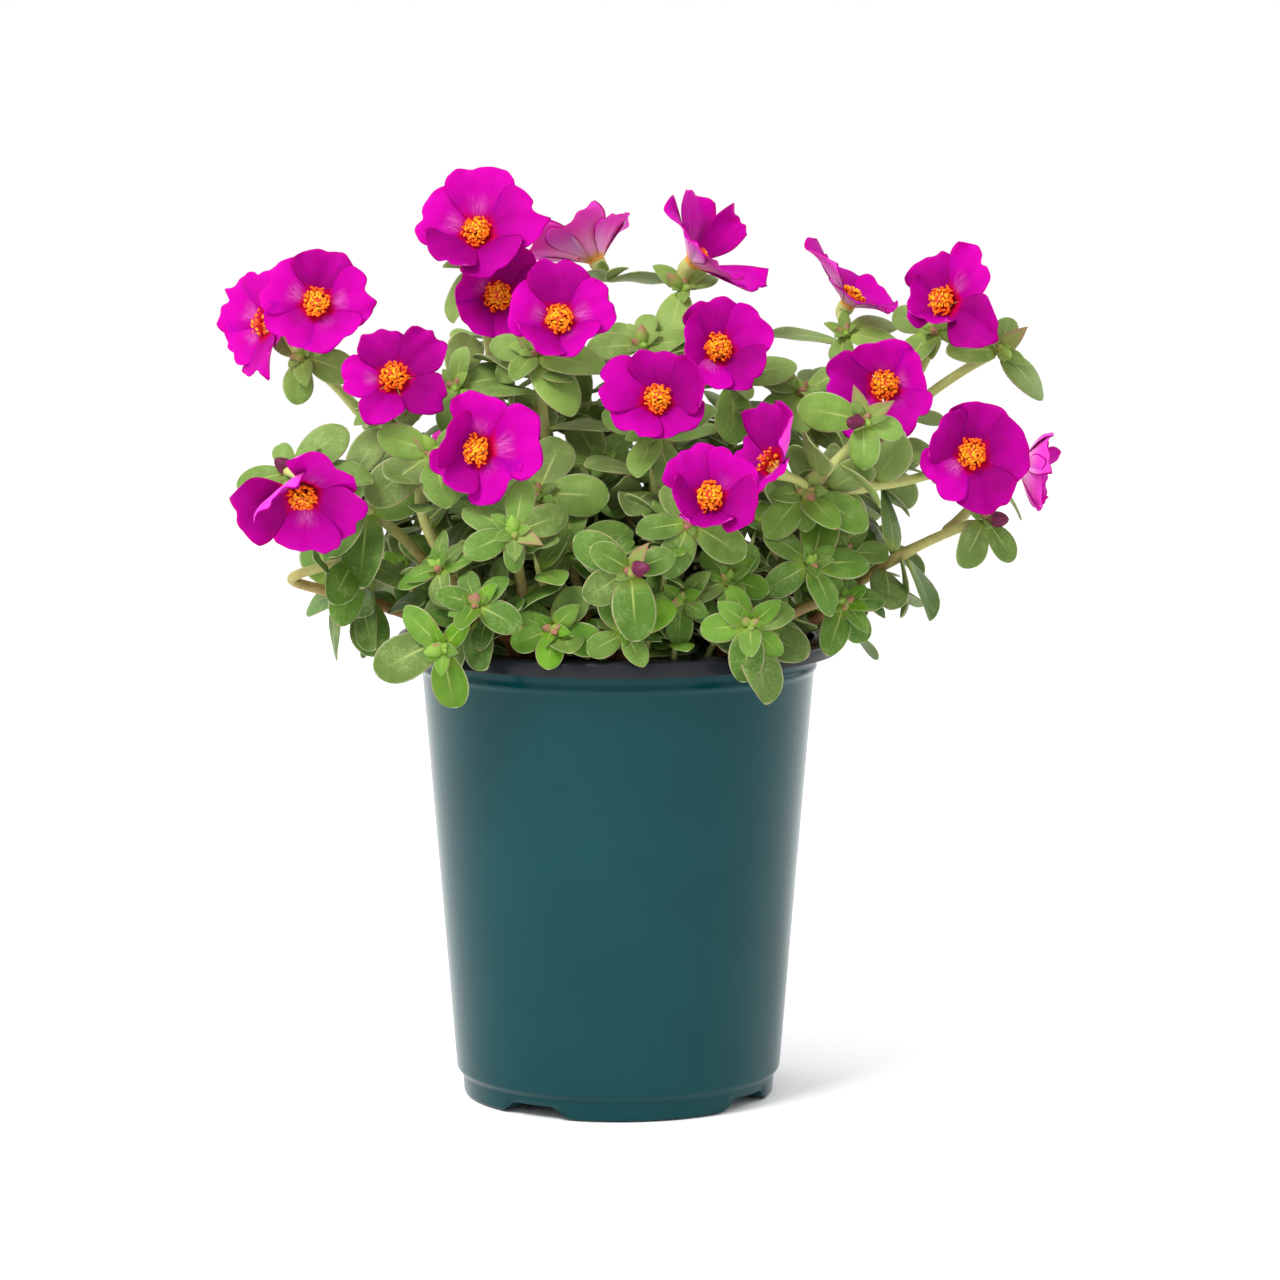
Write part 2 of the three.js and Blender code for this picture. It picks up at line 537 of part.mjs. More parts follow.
function samples(geometry) {
  const position = geometry.getAttribute("position");
  const corner = (i) => new THREE.Vector3().fromBufferAttribute(position, geometry.index.getX(i));
  const found = [];
  for (let face = 0; face < geometry.index.count; face += 3) {
    const [a, b, c] = [corner(face), corner(face + 1), corner(face + 2)];
    const longest = Math.max(a.distanceTo(b), b.distanceTo(c), c.distanceTo(a));
    const parts = Math.ceil(longest / SAMPLE);
    for (let i = 0; i <= parts; i++) {
      for (let j = 0; j <= parts - i; j++) {
        const point = a.clone().multiplyScalar(parts - i - j).addScaledVector(b, i).addScaledVector(c, j);
        found.push(point.divideScalar(parts));
      }
    }
  }
  return found;
}

function occupy(points, owner) {
  for (const p of points) {
    const key = cellKey(...[p.x, p.y, p.z].map((v) => Math.floor(v / CLEAR)));
    if (!cells.has(key)) cells.set(key, []);
    cells.get(key).push([p, owner]);
  }
}

// Whether any of the points comes closer than CLEAR to a sample whose owner passes the test.
function touches(points, counts) {
  for (const p of points) {
    const [x, y, z] = [p.x, p.y, p.z].map((v) => Math.floor(v / CLEAR));
    for (let i = x - 1; i <= x + 1; i++) {
      for (let j = y - 1; j <= y + 1; j++) {
        for (let k = z - 1; k <= z + 1; k++) {
          const near = cells.get(cellKey(i, j, k)) ?? [];
          if (near.some(([q, owner]) => counts(owner) && q.distanceTo(p) < CLEAR)) return true;
        }
      }
    }
  }
  return false;
}

// Whether a point is clear of the pot's wall and brim and of the soil.
function clearOfPot(p) {
  const radius = Math.hypot(p.x, p.y);
  const inside = POT.neckRadius - POT.wall - 2;
  if (radius < inside) return p.z > SOIL.top + SOIL.bump + 1;
  return p.z > POT.height + 1 || radius > POT.brimRadius + 1;
}

// ---------------------------------------------------------------- pot and soil

// The pot's section, from the axis under the floor, up the outside, over the brim and back inside.
function potSection() {
  const { height, brimRadius, brimBand, neckRadius, neckHeight, shoulderRadius, shoulderHeight } = POT;
  const { footRadius, footInner, footHeight, wall, padRadius } = POT;
  const lip = height - brimBand;
  return [
    [0, 0],
    [padRadius, 0],
    [padRadius + 2, footHeight],
    [footInner - 2, footHeight],
    [footInner, 0],
    [footRadius, 0],
    [footRadius + 0.6, shoulderHeight - 2],
    [shoulderRadius, shoulderHeight],
    [neckRadius, neckHeight],
    [neckRadius + 1, neckHeight + 1.4],
    [neckRadius + 1.4, height - wall],
    [brimRadius - wall, height - wall],
    [brimRadius - wall, lip],
    [brimRadius, lip],
    [brimRadius, height - 0.9],
    [brimRadius - 0.9, height],
    [neckRadius, height],
    [neckRadius - wall, neckHeight],
    [shoulderRadius - wall, shoulderHeight + wall],
    [footRadius - wall, footHeight + wall],
    [0, footHeight + wall],
  ];
}

// A closed body turned about Z from a section of [radius, height] points that runs upwards outside.
function turned(section, segments) {
  const geometry = new THREE.LatheGeometry(section.map(([r, z]) => new THREE.Vector2(r, z)), segments);
  geometry.rotateX(Math.PI / 2);
  return geometry;
}

// The wedge that cuts one notch with sloping ends through the foot ring.
function notchCutter(angle) {
  const arc = (deg, r, z) => V(r * Math.sin(rad(angle + deg)), -r * Math.cos(rad(angle + deg)), z);
  const [inner, outer] = [POT.footInner - NOTCH.past, POT.footRadius + NOTCH.past];
  const ring = (z, width) => [
    arc(-width / 2, inner, z),
    arc(-width / 2, outer, z),
    arc(width / 2, outer, z),
    arc(width / 2, inner, z),
  ];
  return solid(loft([ring(-NOTCH.below, NOTCH.bottomDeg), ring(POT.footHeight, NOTCH.topDeg)]));
}

function makePot() {
  let pot = solid(turned(potSection(), POT.segments));
  for (let i = 0; i < DRAIN.count; i++) {
    const angle = (2 * Math.PI * (i + 0.5)) / DRAIN.count;
    const depth = 2 * POT.footHeight;
    const [x, y] = [DRAIN.circle * Math.cos(angle), DRAIN.circle * Math.sin(angle)];
    const drill = new THREE.CylinderGeometry(DRAIN.radius, DRAIN.radius, depth, DRAIN.sides);
    pot = pot.subtract(solid(drill.rotateX(Math.PI / 2).translate(x, y, POT.footHeight)));
  }
  for (const angle of NOTCH.angles) pot = pot.subtract(notchCutter(angle));
  return pot;
}

// A plug that fills the pot, with a lumpy top and a plain hole for each crown.
function makeSoil() {
  const floor = POT.footHeight + POT.wall + SOIL.gap;
  const inset = POT.wall + SOIL.gap;
  const slope = (POT.neckRadius - POT.shoulderRadius) / (POT.neckHeight - POT.shoulderHeight);
  const edge = POT.shoulderRadius + slope * (SOIL.top - 2 - POT.shoulderHeight) - inset;
  const top = [];
  for (let i = 0; i <= SOIL.rings; i++) top.push([edge * (1 - i / SOIL.rings), SOIL.top - (i ? 0 : 2)]);
  const section = [
    [0, floor],
    [POT.footRadius - inset - 0.4, floor],
    [POT.shoulderRadius - inset, POT.shoulderHeight + inset + 0.6],
    ...top,
  ];
  const geometry = turned(section, SOIL.segments);
  const position = geometry.getAttribute("position");
  for (let i = 0; i < position.count; i++) {
    const [x, y, z] = [position.getX(i), position.getY(i), position.getZ(i)];
    const lump = Math.sin(x / 7 + 1) * Math.cos(y / 8) * 0.6 + Math.sin((x - y) / 5) * 0.4;
    if (z > SOIL.top - 1) position.setZ(i, z + SOIL.bump * lump);
  }
  let soil = solid(geometry);
  const radius = (CROWN.radius + CROWN.holeGap) / Math.cos(Math.PI / CROWN.sides);
  for (const { root } of PLANTS) {
    const hole = new THREE.CylinderGeometry(radius, radius, CROWN.depth * 2, CROWN.sides);
    hole.rotateX(Math.PI / 2).translate(root[0], root[1], SOIL.top);
    soil = soil.subtract(solid(hole));
  }
  return soil;
}

// ---------------------------------------------------------------- blooms

// A petal's surface over s, from root to end, and t, from one side to the other. Its midline is an
// arc that leaves the flower's plane at one angle and ends at another. It widens from a narrow claw
// and its end is notched; the sides turn up, one more than the other, and it is waved.
function petalPoint(petal, s, t) {
  const turn = petal.endAngle - petal.rootAngle;
  const now = petal.rootAngle + turn * s;
  const out = (petal.length / turn) * (Math.sin(now) - Math.sin(petal.rootAngle));
  const up = (petal.length / turn) * (Math.cos(petal.rootAngle) - Math.cos(now));
  const claw = Math.sin((Math.PI / 2) * Math.min(1, s / PETAL.widest)) ** 1.7;
  const breadth = claw - 0.9 * Math.max(0, s - PETAL.widest) ** 2;
  const side = petal.halfWidth * breadth * t;
  const short = PETAL.round * s * s * t * t + petal.notch * Math.exp(-((t / 0.3) ** 2)) * s ** 6;
  const wave = PETAL.wave * s * s * Math.sin(4 * t + petal.phase);
  const raised = PETAL.cupped * s * t * t + PETAL.twist * s * t + wave;
  return V(BLOOM.radius + out - petal.length * short, side, BLOOM.start + up + petal.length * raised);
}

// The ring of points round a petal at s: over its face from side to side and back under it.
function petalRing(petal, s, columns) {
  const step = 0.01;
  const offset = (t) => {
    const along = petalPoint(petal, s + step, t).sub(petalPoint(petal, s - step, t));
    const across = petalPoint(petal, s, t + step).sub(petalPoint(petal, s, t - step));
    return along.cross(across).setLength(PETAL.thickness / 2);
  };
  const inner = columns.slice(1, -1);
  const face = inner.map((t) => petalPoint(petal, s, t).add(offset(t)));
  const back = inner.map((t) => petalPoint(petal, s, t).sub(offset(t))).reverse();
  const [first, last] = [petalPoint(petal, s, columns[0]), petalPoint(petal, s, columns.at(-1))];
  const points = [first, ...face, last, ...back];
  const shift = (i) => (columns.length > 3 && i % 2 === 0 ? 0.005 : 0);
  return { points, order: [...points.keys()], at: points.map((_, i) => i / points.length + shift(i)) };
}

// The petal's thin end, whose face and back share their points.
function petalEnd(petal, columns) {
  const points = columns.map((t) => petalPoint(petal, 1, t));
  const order = [...points.keys(), ...[...points.keys()].slice(1, -1).reverse()];
  return { points, order, at: order.map((_, i) => i / order.length + (i % 2 ? 0.01 : 0)) };
}

// Petals joined by a small base, each leaving it with its left side above the right side of the next.
function pinwheel(petals) {
  const { radius, low, high } = BLOOM;
  const points = [V(0, 0, high), V(0, 0, low)];
  const index = [];
  const corners = petals.map(({ angle }, i) => {
    const gap = (petals[(i + 1) % petals.length].angle - angle + 4 * Math.PI) % (2 * Math.PI);
    const [c, s] = [Math.cos(angle + gap / 2), Math.sin(angle + gap / 2)];
    return [high, (high + low) / 2, low].map((z) => points.push(V(radius * c, radius * s, z)) - 1);
  });
  petals.forEach(({ rings }, i) => {
    const [leftHigh, leftMiddle, leftLow] = corners[i];
    const [, rightMiddle, rightLow] = corners[(i + petals.length - 1) % petals.length];
    index.push(0, rightMiddle, leftHigh, 0, leftHigh, leftMiddle);
    index.push(1, leftMiddle, rightLow, 1, leftLow, leftMiddle);
    growBlade(points, index, [leftHigh, rightMiddle, rightLow, leftMiddle], rings);
  });
  return surface(points, index);
}

// Five petals round a small base, facing +Z.
function corolla([, , , , clock, length, rootAngle, endAngle, halfWidth = PETAL.halfWidth], seed) {
  const draw = draws(seed);
  const petals = [];
  for (let i = 0; i < 5; i++) {
    const size = 0.94 + 0.12 * draw();
    const petal = {
      length: length * size,
      halfWidth: length * halfWidth * (0.94 + 0.12 * draw()),
      rootAngle: rad(rootAngle + 4 * (draw() - 0.5)),
      endAngle: rad(endAngle + 12 * (draw() - 0.5)),
      notch: PETAL.notch * (0.5 + draw()),
      phase: 2 * Math.PI * draw(),
    };
    const angle = rad(90 - clock + 72 * i + 4 * (draw() - 0.5));
    const rings = [petalRing(petal, 0.3, [1, 0, -1]), petalRing(petal, 0.66, PETAL_COLUMNS)];
    rings.push(petalEnd(petal, PETAL_COLUMNS));
    const turn = new THREE.Matrix4().makeRotationZ(angle);
    for (const ring of rings) ring.points.forEach((p) => p.applyMatrix4(turn));
    petals.push({ angle, rings });
  }
  return pinwheel(petals);
}

// The stamens: a bunch on a narrow foot that spreads into a toothed ring of anthers round the styles.
function stamenGeometry(seed) {
  const draw = draws(seed);
  const { around, foot, outer, inner, middle, gap } = STAMENS;
  const level = (radii, heights) =>
    Array.from({ length: around }, (_, i) => {
      const angle = (2 * Math.PI * i) / around;
      const reach = radii[i % 2] * (0.92 + 0.16 * draw());
      return V(reach * Math.cos(angle), reach * Math.sin(angle), heights[i % 2]);
    });
  const base = BLOOM.high + gap;
  const raised = (heights) => heights.map((height) => base + height);
  const rings = [foot, outer, inner].map(({ radii, heights }) => level(radii, raised(heights)));
  return loft([...rings, [V(0, 0, base + middle)]]);
}

// ---------------------------------------------------------------- plants

// The angle through which a curve turns between two of its points.
function turning(curve, from, to) {
  const checks = 8;
  const tangents = [];
  for (let i = 0; i <= checks; i++) tangents.push(curve.getTangent(from + ((to - from) * i) / checks));
  return tangents.slice(1).reduce((sum, tangent, i) => sum + tangent.angleTo(tangents[i]), 0);
}

// The stations of a stem along its curve: its ends, the points where something grows from it, and
// others between those that are far apart.
function stationsOf(curve, growing = []) {
  const knots = [...new Set([0, 1, ...growing])].sort((a, b) => a - b);
  const length = curve.getLength();
  const found = [0];
  for (let i = 1; i < knots.length; i++) {
    const gap = knots[i] - knots[i - 1];
    const turns = turning(curve, knots[i - 1], knots[i]) / rad(STEM.turn);
    const parts = Math.max(1, Math.round((gap * length) / STEM.step), Math.round(turns));
    for (let k = 1; k <= parts; k++) found.push(knots[i - 1] + (gap * k) / parts);
  }
  return found.map((t) => ({ point: curve.getPoint(t), tangent: curve.getTangent(t) }));
}

// A stem of a few sides through its stations, its radius changing evenly.
function tube(stations, startRadius, endRadius) {
  const normal = V(0.3, 1, 0.2);
  const rings = stations.map(({ point, tangent }, i) => {
    normal.addScaledVector(tangent, -normal.dot(tangent)).normalize();
    const side = tangent.clone().cross(normal);
    const radius = startRadius + ((endRadius - startRadius) * i) / (stations.length - 1);
    return Array.from({ length: STEM.sides }, (_, k) => {
      const angle = (2 * Math.PI * k) / STEM.sides;
      const spoke = normal.clone().multiplyScalar(radius * Math.cos(angle));
      return point.clone().add(spoke.addScaledVector(side, radius * Math.sin(angle)));
    });
  });
  return loft(rings);
}

// The rings of a thick blade from a point along a direction: widest past the middle, pointed,
// keeled beneath, and curved away from its upper side by a bend in all.
function bladeRings(start, along, upper, length, halfWidth) {
  const normal = upper.clone().addScaledVector(along, -upper.dot(along)).normalize();
  const side = normal.clone().cross(along);
  const bend = rad(LEAF.bend);
  const place = (s, y, z) => {
    const x = (length / bend) * Math.sin(bend * s);
    const drop = (length / bend) * (1 - Math.cos(bend * s));
    const point = start.clone().addScaledVector(along, x);
    return point.addScaledVector(side, y).addScaledVector(normal, z - drop);
  };
  const section = (s, half, thick) => {
    const points = [place(s, half, LEAF.top), place(s, -half, LEAF.top), place(s, 0, LEAF.top - thick)];
    return { points, order: [0, 1, 2], at: [0, 0.5, 0.75] };
  };
  const breadth = (s) => s ** 1.5 * (1 - s) ** 0.5;
  let stations = [0.64];
  if (length > LEAF.shortTo) stations = [0.4, 0.77];
  if (length > LEAF.longFrom) stations = [0.3, 0.6, 0.87];
  const rings = stations.map((s) => section(s, (halfWidth * breadth(s)) / breadth(0.7), LEAF.thickness));
  const root = section(0, LEAF.rootHalf, LEAF.rootThick);
  return [root, ...rings, { points: [place(1, 0, 0)], order: [0], at: [0] }];
}

const blade = (rings) => loft(rings.map(({ points }) => points));

const clockDirection = (frame, clock, angle) => {
  const [c, a] = [rad(clock), rad(angle)];
  return V(Math.sin(a) * Math.sin(c), Math.sin(a) * Math.cos(c), Math.cos(a)).transformDirection(frame);
};

// A pointed bud on the rosette, from its centre.
function budGeometry(centre, along, length) {
  const frame = facing(centre, along);
  const ring = (radius, height) =>
    Array.from({ length: BUD.sides }, (_, k) => {
      const angle = (2 * Math.PI * k) / BUD.sides;
      return V(radius * Math.cos(angle), radius * Math.sin(angle), height).applyMatrix4(frame);
    });
  const tip = V(0, 0, length + 2).applyMatrix4(frame);
  return loft([ring(BUD.foot, 1), ring(BUD.halfWidth, 2 + length * 0.4), [tip]]);
}

// All curves of one plant: its stems and the necks that carry its blooms.
function growStems(plant) {
  const base = V(plant.root[0], plant.root[1], SOIL.top + 1);
  const curves = [];
  for (const [parent, t, start, to, end, handle] of plant.stems) {
    const spread = V(start[0], start[1], 0).setLength(CROWN.spread);
    const from = parent < 0 ? base.clone().add(spread) : curves[parent].getPoint(t);
    curves.push(bow(from, unit(start), vector(to), unit(end), handle));
  }
  return curves;
}

function bloomFrame([, , centre, face]) {
  const axis = unit(face);
  return facing(vector(centre).addScaledVector(axis, -BLOOM.cup), axis);
}

function neckCurve(curves, bloom) {
  const stem = curves[bloom[1]];
  const foot = new THREE.Vector3().setFromMatrixPosition(bloomFrame(bloom));
  return bow(stem.getPoint(1), stem.getTangent(1), foot, unit(bloom[3]));
}

const crownGeometry = ([x, y]) => {
  const { radius, depth, above, sides } = CROWN;
  const length = depth + above - SOIL.gap;
  const crown = new THREE.CylinderGeometry(radius * 0.9, radius, length, sides).rotateX(Math.PI / 2);
  return crown.translate(x, y, SOIL.top + above - length / 2);
};

// A leaf of a rosette, bent clear of the other plants, or null where there is no room for it. It is
// free where it stays clear of its own plant too.
function placeLeaf(owner, { centre, frame, axis, tip }, [clock, length, angle = LEAF.angle], halfWidth) {
  let second = null;
  for (const [tilt, swing, scale] of BENDS) {
    const along = clockDirection(frame, clock + swing, angle + tilt);
    const root = centre.clone().addScaledVector(along, tip ? LEAF.root : LEAF.sideRoot);
    const size = length * scale;
    const rings = bladeRings(root, along, axis, size, size * halfWidth);
    const points = samples(blade(rings)).filter((p) => p.distanceTo(centre) > 3);
    if (!points.every(clearOfPot) || touches(points, (who) => who !== owner)) continue;
    const outer = points.filter((p) => p.distanceTo(centre) > 0.4 * size);
    const leaf = { rings, angle: rad(90 - clock - swing), free: !touches(outer, (who) => who === owner) };
    if (leaf.free) return leaf;
    second ??= leaf;
  }
  return second;
}

// The leaves of one rosette as solids: those that stand free and well apart share a knob.
function growRosette(plant, curves, rosette) {
  const [stem, t] = rosette.at;
  const { leaves, buds = [], sepals = [] } = rosette;
  const centre = curves[stem].getPoint(t);
  const axis = unit(rosette.axis);
  const frame = facing(centre, axis);
  const pieces = [];
  const members = [];
  const place = (entry, halfWidth, mayShare) => {
    const leaf = placeLeaf(plant.name, { centre, frame, axis, tip: t === 1 }, entry, halfWidth);
    if (!leaf) return;
    occupy(samples(blade(leaf.rings)), plant.name);
    const apart = (other) => Math.cos(other.angle - leaf.angle) < Math.cos(rad(LEAF.apart));
    if (mayShare && leaf.free && members.every(apart)) members.push(leaf);
    else pieces.push(blade(leaf.rings));
  };
  for (const entry of leaves) place(entry, LEAF.halfWidth, t === 1);
  const round = (leaf) => (leaf.angle + 4 * Math.PI) % (2 * Math.PI);
  if (members.length) {
    const local = frame.clone().invert();
    const blades = members.sort((a, b) => round(a) - round(b)).map(({ rings, angle }) => {
      const outer = rings.slice(1);
      for (const ring of outer) ring.points = ring.points.map((p) => p.clone().applyMatrix4(local));
      return { angle, rings: outer };
    });
    pieces.push(whorl(KNOB, blades).applyMatrix4(frame));
  }
  for (const [clock, length] of sepals) place([clock, length, SEPAL.angle], SEPAL.halfWidth, false);
  for (const [clock, length] of buds) {
    const bud = budGeometry(centre, clockDirection(frame, clock, BUD.angle), length);
    if (touches(samples(bud), (who) => who !== plant.name)) continue;
    occupy(samples(bud), plant.name);
    pieces.push(bud);
  }
  return pieces;
}

// ---------------------------------------------------------------- assembly

const portulaca = new THREE.Group();
portulaca.add(meshOf("pot", makePot(), MATERIAL.pot), meshOf("soil", makeSoil(), MATERIAL.soil));

BLOOMS.forEach((bloom, i) => {
  const number = String(i + 1).padStart(2, "0");
  const frame = bloomFrame(bloom);
  const petals = corolla(bloom, 101 + i);
  const stamens = stamenGeometry(501 + i);
  const flower = new THREE.Group();
  flower.applyMatrix4(frame);
  flower.add(meshOf(`petals_${number}`, solid(petals.clone()), MATERIAL.petals));
  flower.add(meshOf(`stamens_${number}`, solid(stamens.clone()), MATERIAL.stamens));
  portulaca.add(flower);
  for (const piece of [petals, stamens]) {
    occupy(samples(piece.clone().applyMatrix4(frame)), `bloom ${number}`);
  }
});

const grown = PLANTS.map((plant) => {
  const curves = growStems(plant);
  const own = BLOOMS.filter((bloom) => bloom[0] === plant.name);
  const first = curves.map((_, stem) => own.find((bloom) => bloom[1] === stem));
  const pieces = curves.map((curve, stem) => {
    const children = plant.stems.filter(([parent]) => parent === stem).map(([, t]) => t);
    const rosettes = plant.rosettes.filter(({ at }) => at[0] === stem).map(({ at }) => at[1]);
    const stations = stationsOf(curve, [...children, ...rosettes]);
    if (!first[stem]) return tube(stations, STEM.start, STEM.end);
    const neck = stationsOf(neckCurve(curves, first[stem])).slice(1);
    return tube([...stations, ...neck], STEM.start, STEM.neck);
  });
  for (const bloom of own.filter((one) => !first.includes(one))) {
    pieces.push(tube(stationsOf(neckCurve(curves, bloom)), STEM.end, STEM.neck));
  }
  pieces.push(crownGeometry(plant.root));
  for (const piece of pieces) occupy(samples(piece), plant.name);
  return { plant, curves, pieces };
});
for (const { plant, curves, pieces } of grown) {
  for (const rosette of plant.rosettes) pieces.push(...growRosette(plant, curves, rosette));
}
for (const { plant, pieces } of grown) {
  portulaca.add(meshOf(`plant_${plant.name}`, join(pieces.map(solid)), MATERIAL.plant));
}

export default portulaca;
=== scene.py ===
# %% [markdown]
# # A portulaca in its nursery pot
# A moss rose is a low, branching plant with fleshy leaves and wide five-petalled flowers. This one
# grows in a thin glossy pot with a black rolled brim. The solids of the pot, the soil, twelve plants
# and twenty-two flowers come from the CAD frame. Here each solid gets a finer skin in the same place:
# leaves with a rounded outline and a pale margin, petals that ruffle, single stamens, and the small
# things that the solids leave out. The skins could be sculpted, but worked out from a few numbers
# they follow the solids exactly and come out the same on every run.

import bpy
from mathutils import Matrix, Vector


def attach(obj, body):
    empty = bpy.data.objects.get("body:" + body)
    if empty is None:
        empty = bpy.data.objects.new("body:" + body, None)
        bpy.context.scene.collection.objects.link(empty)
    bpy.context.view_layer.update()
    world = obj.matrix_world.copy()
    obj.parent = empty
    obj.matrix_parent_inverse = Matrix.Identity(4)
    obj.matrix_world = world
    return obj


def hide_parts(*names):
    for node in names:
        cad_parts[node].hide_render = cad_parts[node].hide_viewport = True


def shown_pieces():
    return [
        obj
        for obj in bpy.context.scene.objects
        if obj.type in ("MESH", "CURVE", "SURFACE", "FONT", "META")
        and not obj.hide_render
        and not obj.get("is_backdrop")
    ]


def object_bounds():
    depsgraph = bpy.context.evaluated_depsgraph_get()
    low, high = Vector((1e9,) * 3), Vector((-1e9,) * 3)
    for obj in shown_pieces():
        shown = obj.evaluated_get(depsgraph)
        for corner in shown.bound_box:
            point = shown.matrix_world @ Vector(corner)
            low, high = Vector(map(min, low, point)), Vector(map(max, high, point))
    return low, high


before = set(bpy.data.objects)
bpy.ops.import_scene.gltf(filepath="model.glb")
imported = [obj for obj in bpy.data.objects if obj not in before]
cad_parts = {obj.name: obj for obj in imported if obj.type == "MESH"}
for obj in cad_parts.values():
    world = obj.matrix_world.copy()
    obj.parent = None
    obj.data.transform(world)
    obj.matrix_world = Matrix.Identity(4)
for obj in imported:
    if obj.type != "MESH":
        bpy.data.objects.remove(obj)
cad_box = [list(corner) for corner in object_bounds()]

from typing import NamedTuple

import bpy
import numpy as np
from mathutils import Matrix

MM = 0.001  # every shape is worked out in millimetres and scaled when its mesh is made
print("CAD box in metres:", np.round(cad_box, 4).tolist())

# %% [markdown]
# ## Directions and curves
# A flower, a bud and a rosette of leaves each need a little frame of their own: an axis that they
# face along, and a way that is up across it. Stems could be drawn as Blender curves. Cubic curves
# worked out here give the same bend and also tell where a leaf starts, so they are used instead.

# %% Frames and cubic curves


def unit(vector):
    """The vector divided by its length."""
    vector = np.asarray(vector, float)
    return vector / np.linalg.norm(vector)


def facing(axis):
    """Rows X, Y, Z of a frame: Z is the axis, Y is (0, 0.35, 1) less its share along Z, X is Y x Z."""
    z = unit(axis)
    up = np.array([0, 0.35, 1.0])
    y = unit(up - z * (z @ up))
    return np.array([np.cross(y, z), y, z])


def bow(start, start_dir, end, end_dir, handle=None):
    """Four points of the cubic that leaves and arrives along two directions, handle 0.36 of the span."""
    start, end = np.asarray(start, float), np.asarray(end, float)
    reach = 0.36 * np.linalg.norm(end - start) if handle is None else handle
    return np.array([start, start + reach * unit(start_dir), end - reach * unit(end_dir), end])


def walk(curve, t):
    """Points and unit tangents of a cubic: sums of its four points with Bernstein's weights."""
    t = np.asarray(t, float)[:, None]
    a, b, c, d = curve
    points = (1 - t) ** 3 * a + 3 * t * (1 - t) ** 2 * b + 3 * t**2 * (1 - t) * c + t**3 * d
    slope = (1 - t) ** 2 * (b - a) + 2 * t * (1 - t) * (c - b) + t**2 * (d - c)
    return points, slope / np.linalg.norm(slope, axis=1, keepdims=True)


def spot_on(curve, share):
    """The point and the unit tangent at one share of a cubic."""
    points, tangents = walk(curve, [share])
    return points[0], tangents[0]


def span(curve):
    """The length of the line through a cubic's four points, a little more than the curve's own."""
    return np.linalg.norm(np.diff(curve, axis=0), axis=1).sum()


print("a bow's middle:", walk(bow([0, 0, 0], [0, 0, 1], [30, 0, 40], [1, 0, 0]), [0.5])[0].round(1))

# %% Circles, bells and repeatable draws


def circle(sides):
    """Angles of a full turn in equal steps: 360 degrees * k / sides."""
    return 2 * np.pi * np.arange(sides) / sides


def turned(radius, height, angle):
    """Points about Z: x = radius * cos a, y = radius * sin a, z = height."""
    return np.stack(np.broadcast_arrays(radius * np.cos(angle), radius * np.sin(angle), height), -1)


def bell(x):
    """1 in the middle and less to both sides: e to the power of minus x squared."""
    return np.exp(-(x**2))


MULTIPLIER, INCREMENT, RANGE = 1664525, 1013904223, 2**32


def draws(seed):
    """Repeatable numbers from 0 to 1: a state times a multiplier, plus an increment, within a range."""
    state = seed

    def draw():
        nonlocal state
        state = (state * MULTIPLIER + INCREMENT) % RANGE
        return state / RANGE

    return draw


print("the first draw from seed 1:", round(draws(1)(), 4))

# %% [markdown]
# ## From arrays to one mesh
# Leaves, stems and anthers are all closed skins: rings that shrink to a point at both ends. Petals
# are thin sheets, so they are a front and a back that share their border. A plant has dozens of
# them, and one mesh for each plant is lighter than dozens of objects. Each point also carries four
# numbers for the finish, such as how far along the leaf it lies.

# %% A collector of skins


def number(shape, *values):
    """An array of the given shape with four numbers for each point, from arrays or plain numbers."""
    return np.stack([np.broadcast_to(value, shape) for value in values], -1).astype(float)


def poled(grid):
    """The points of a stack of rings, of which the first and the last ring shrink to their middles."""
    return np.concatenate([grid[:1].mean(1), grid[1:-1].reshape(-1, grid.shape[-1]), grid[-1:].mean(1)])


def corners(grid):
    """The corners of each cell of a grid: here, a row on, a row and a column on, and a column on."""
    return grid[:-1, :-1].ravel(), grid[1:, :-1].ravel(), grid[1:, 1:].ravel(), grid[:-1, 1:].ravel()


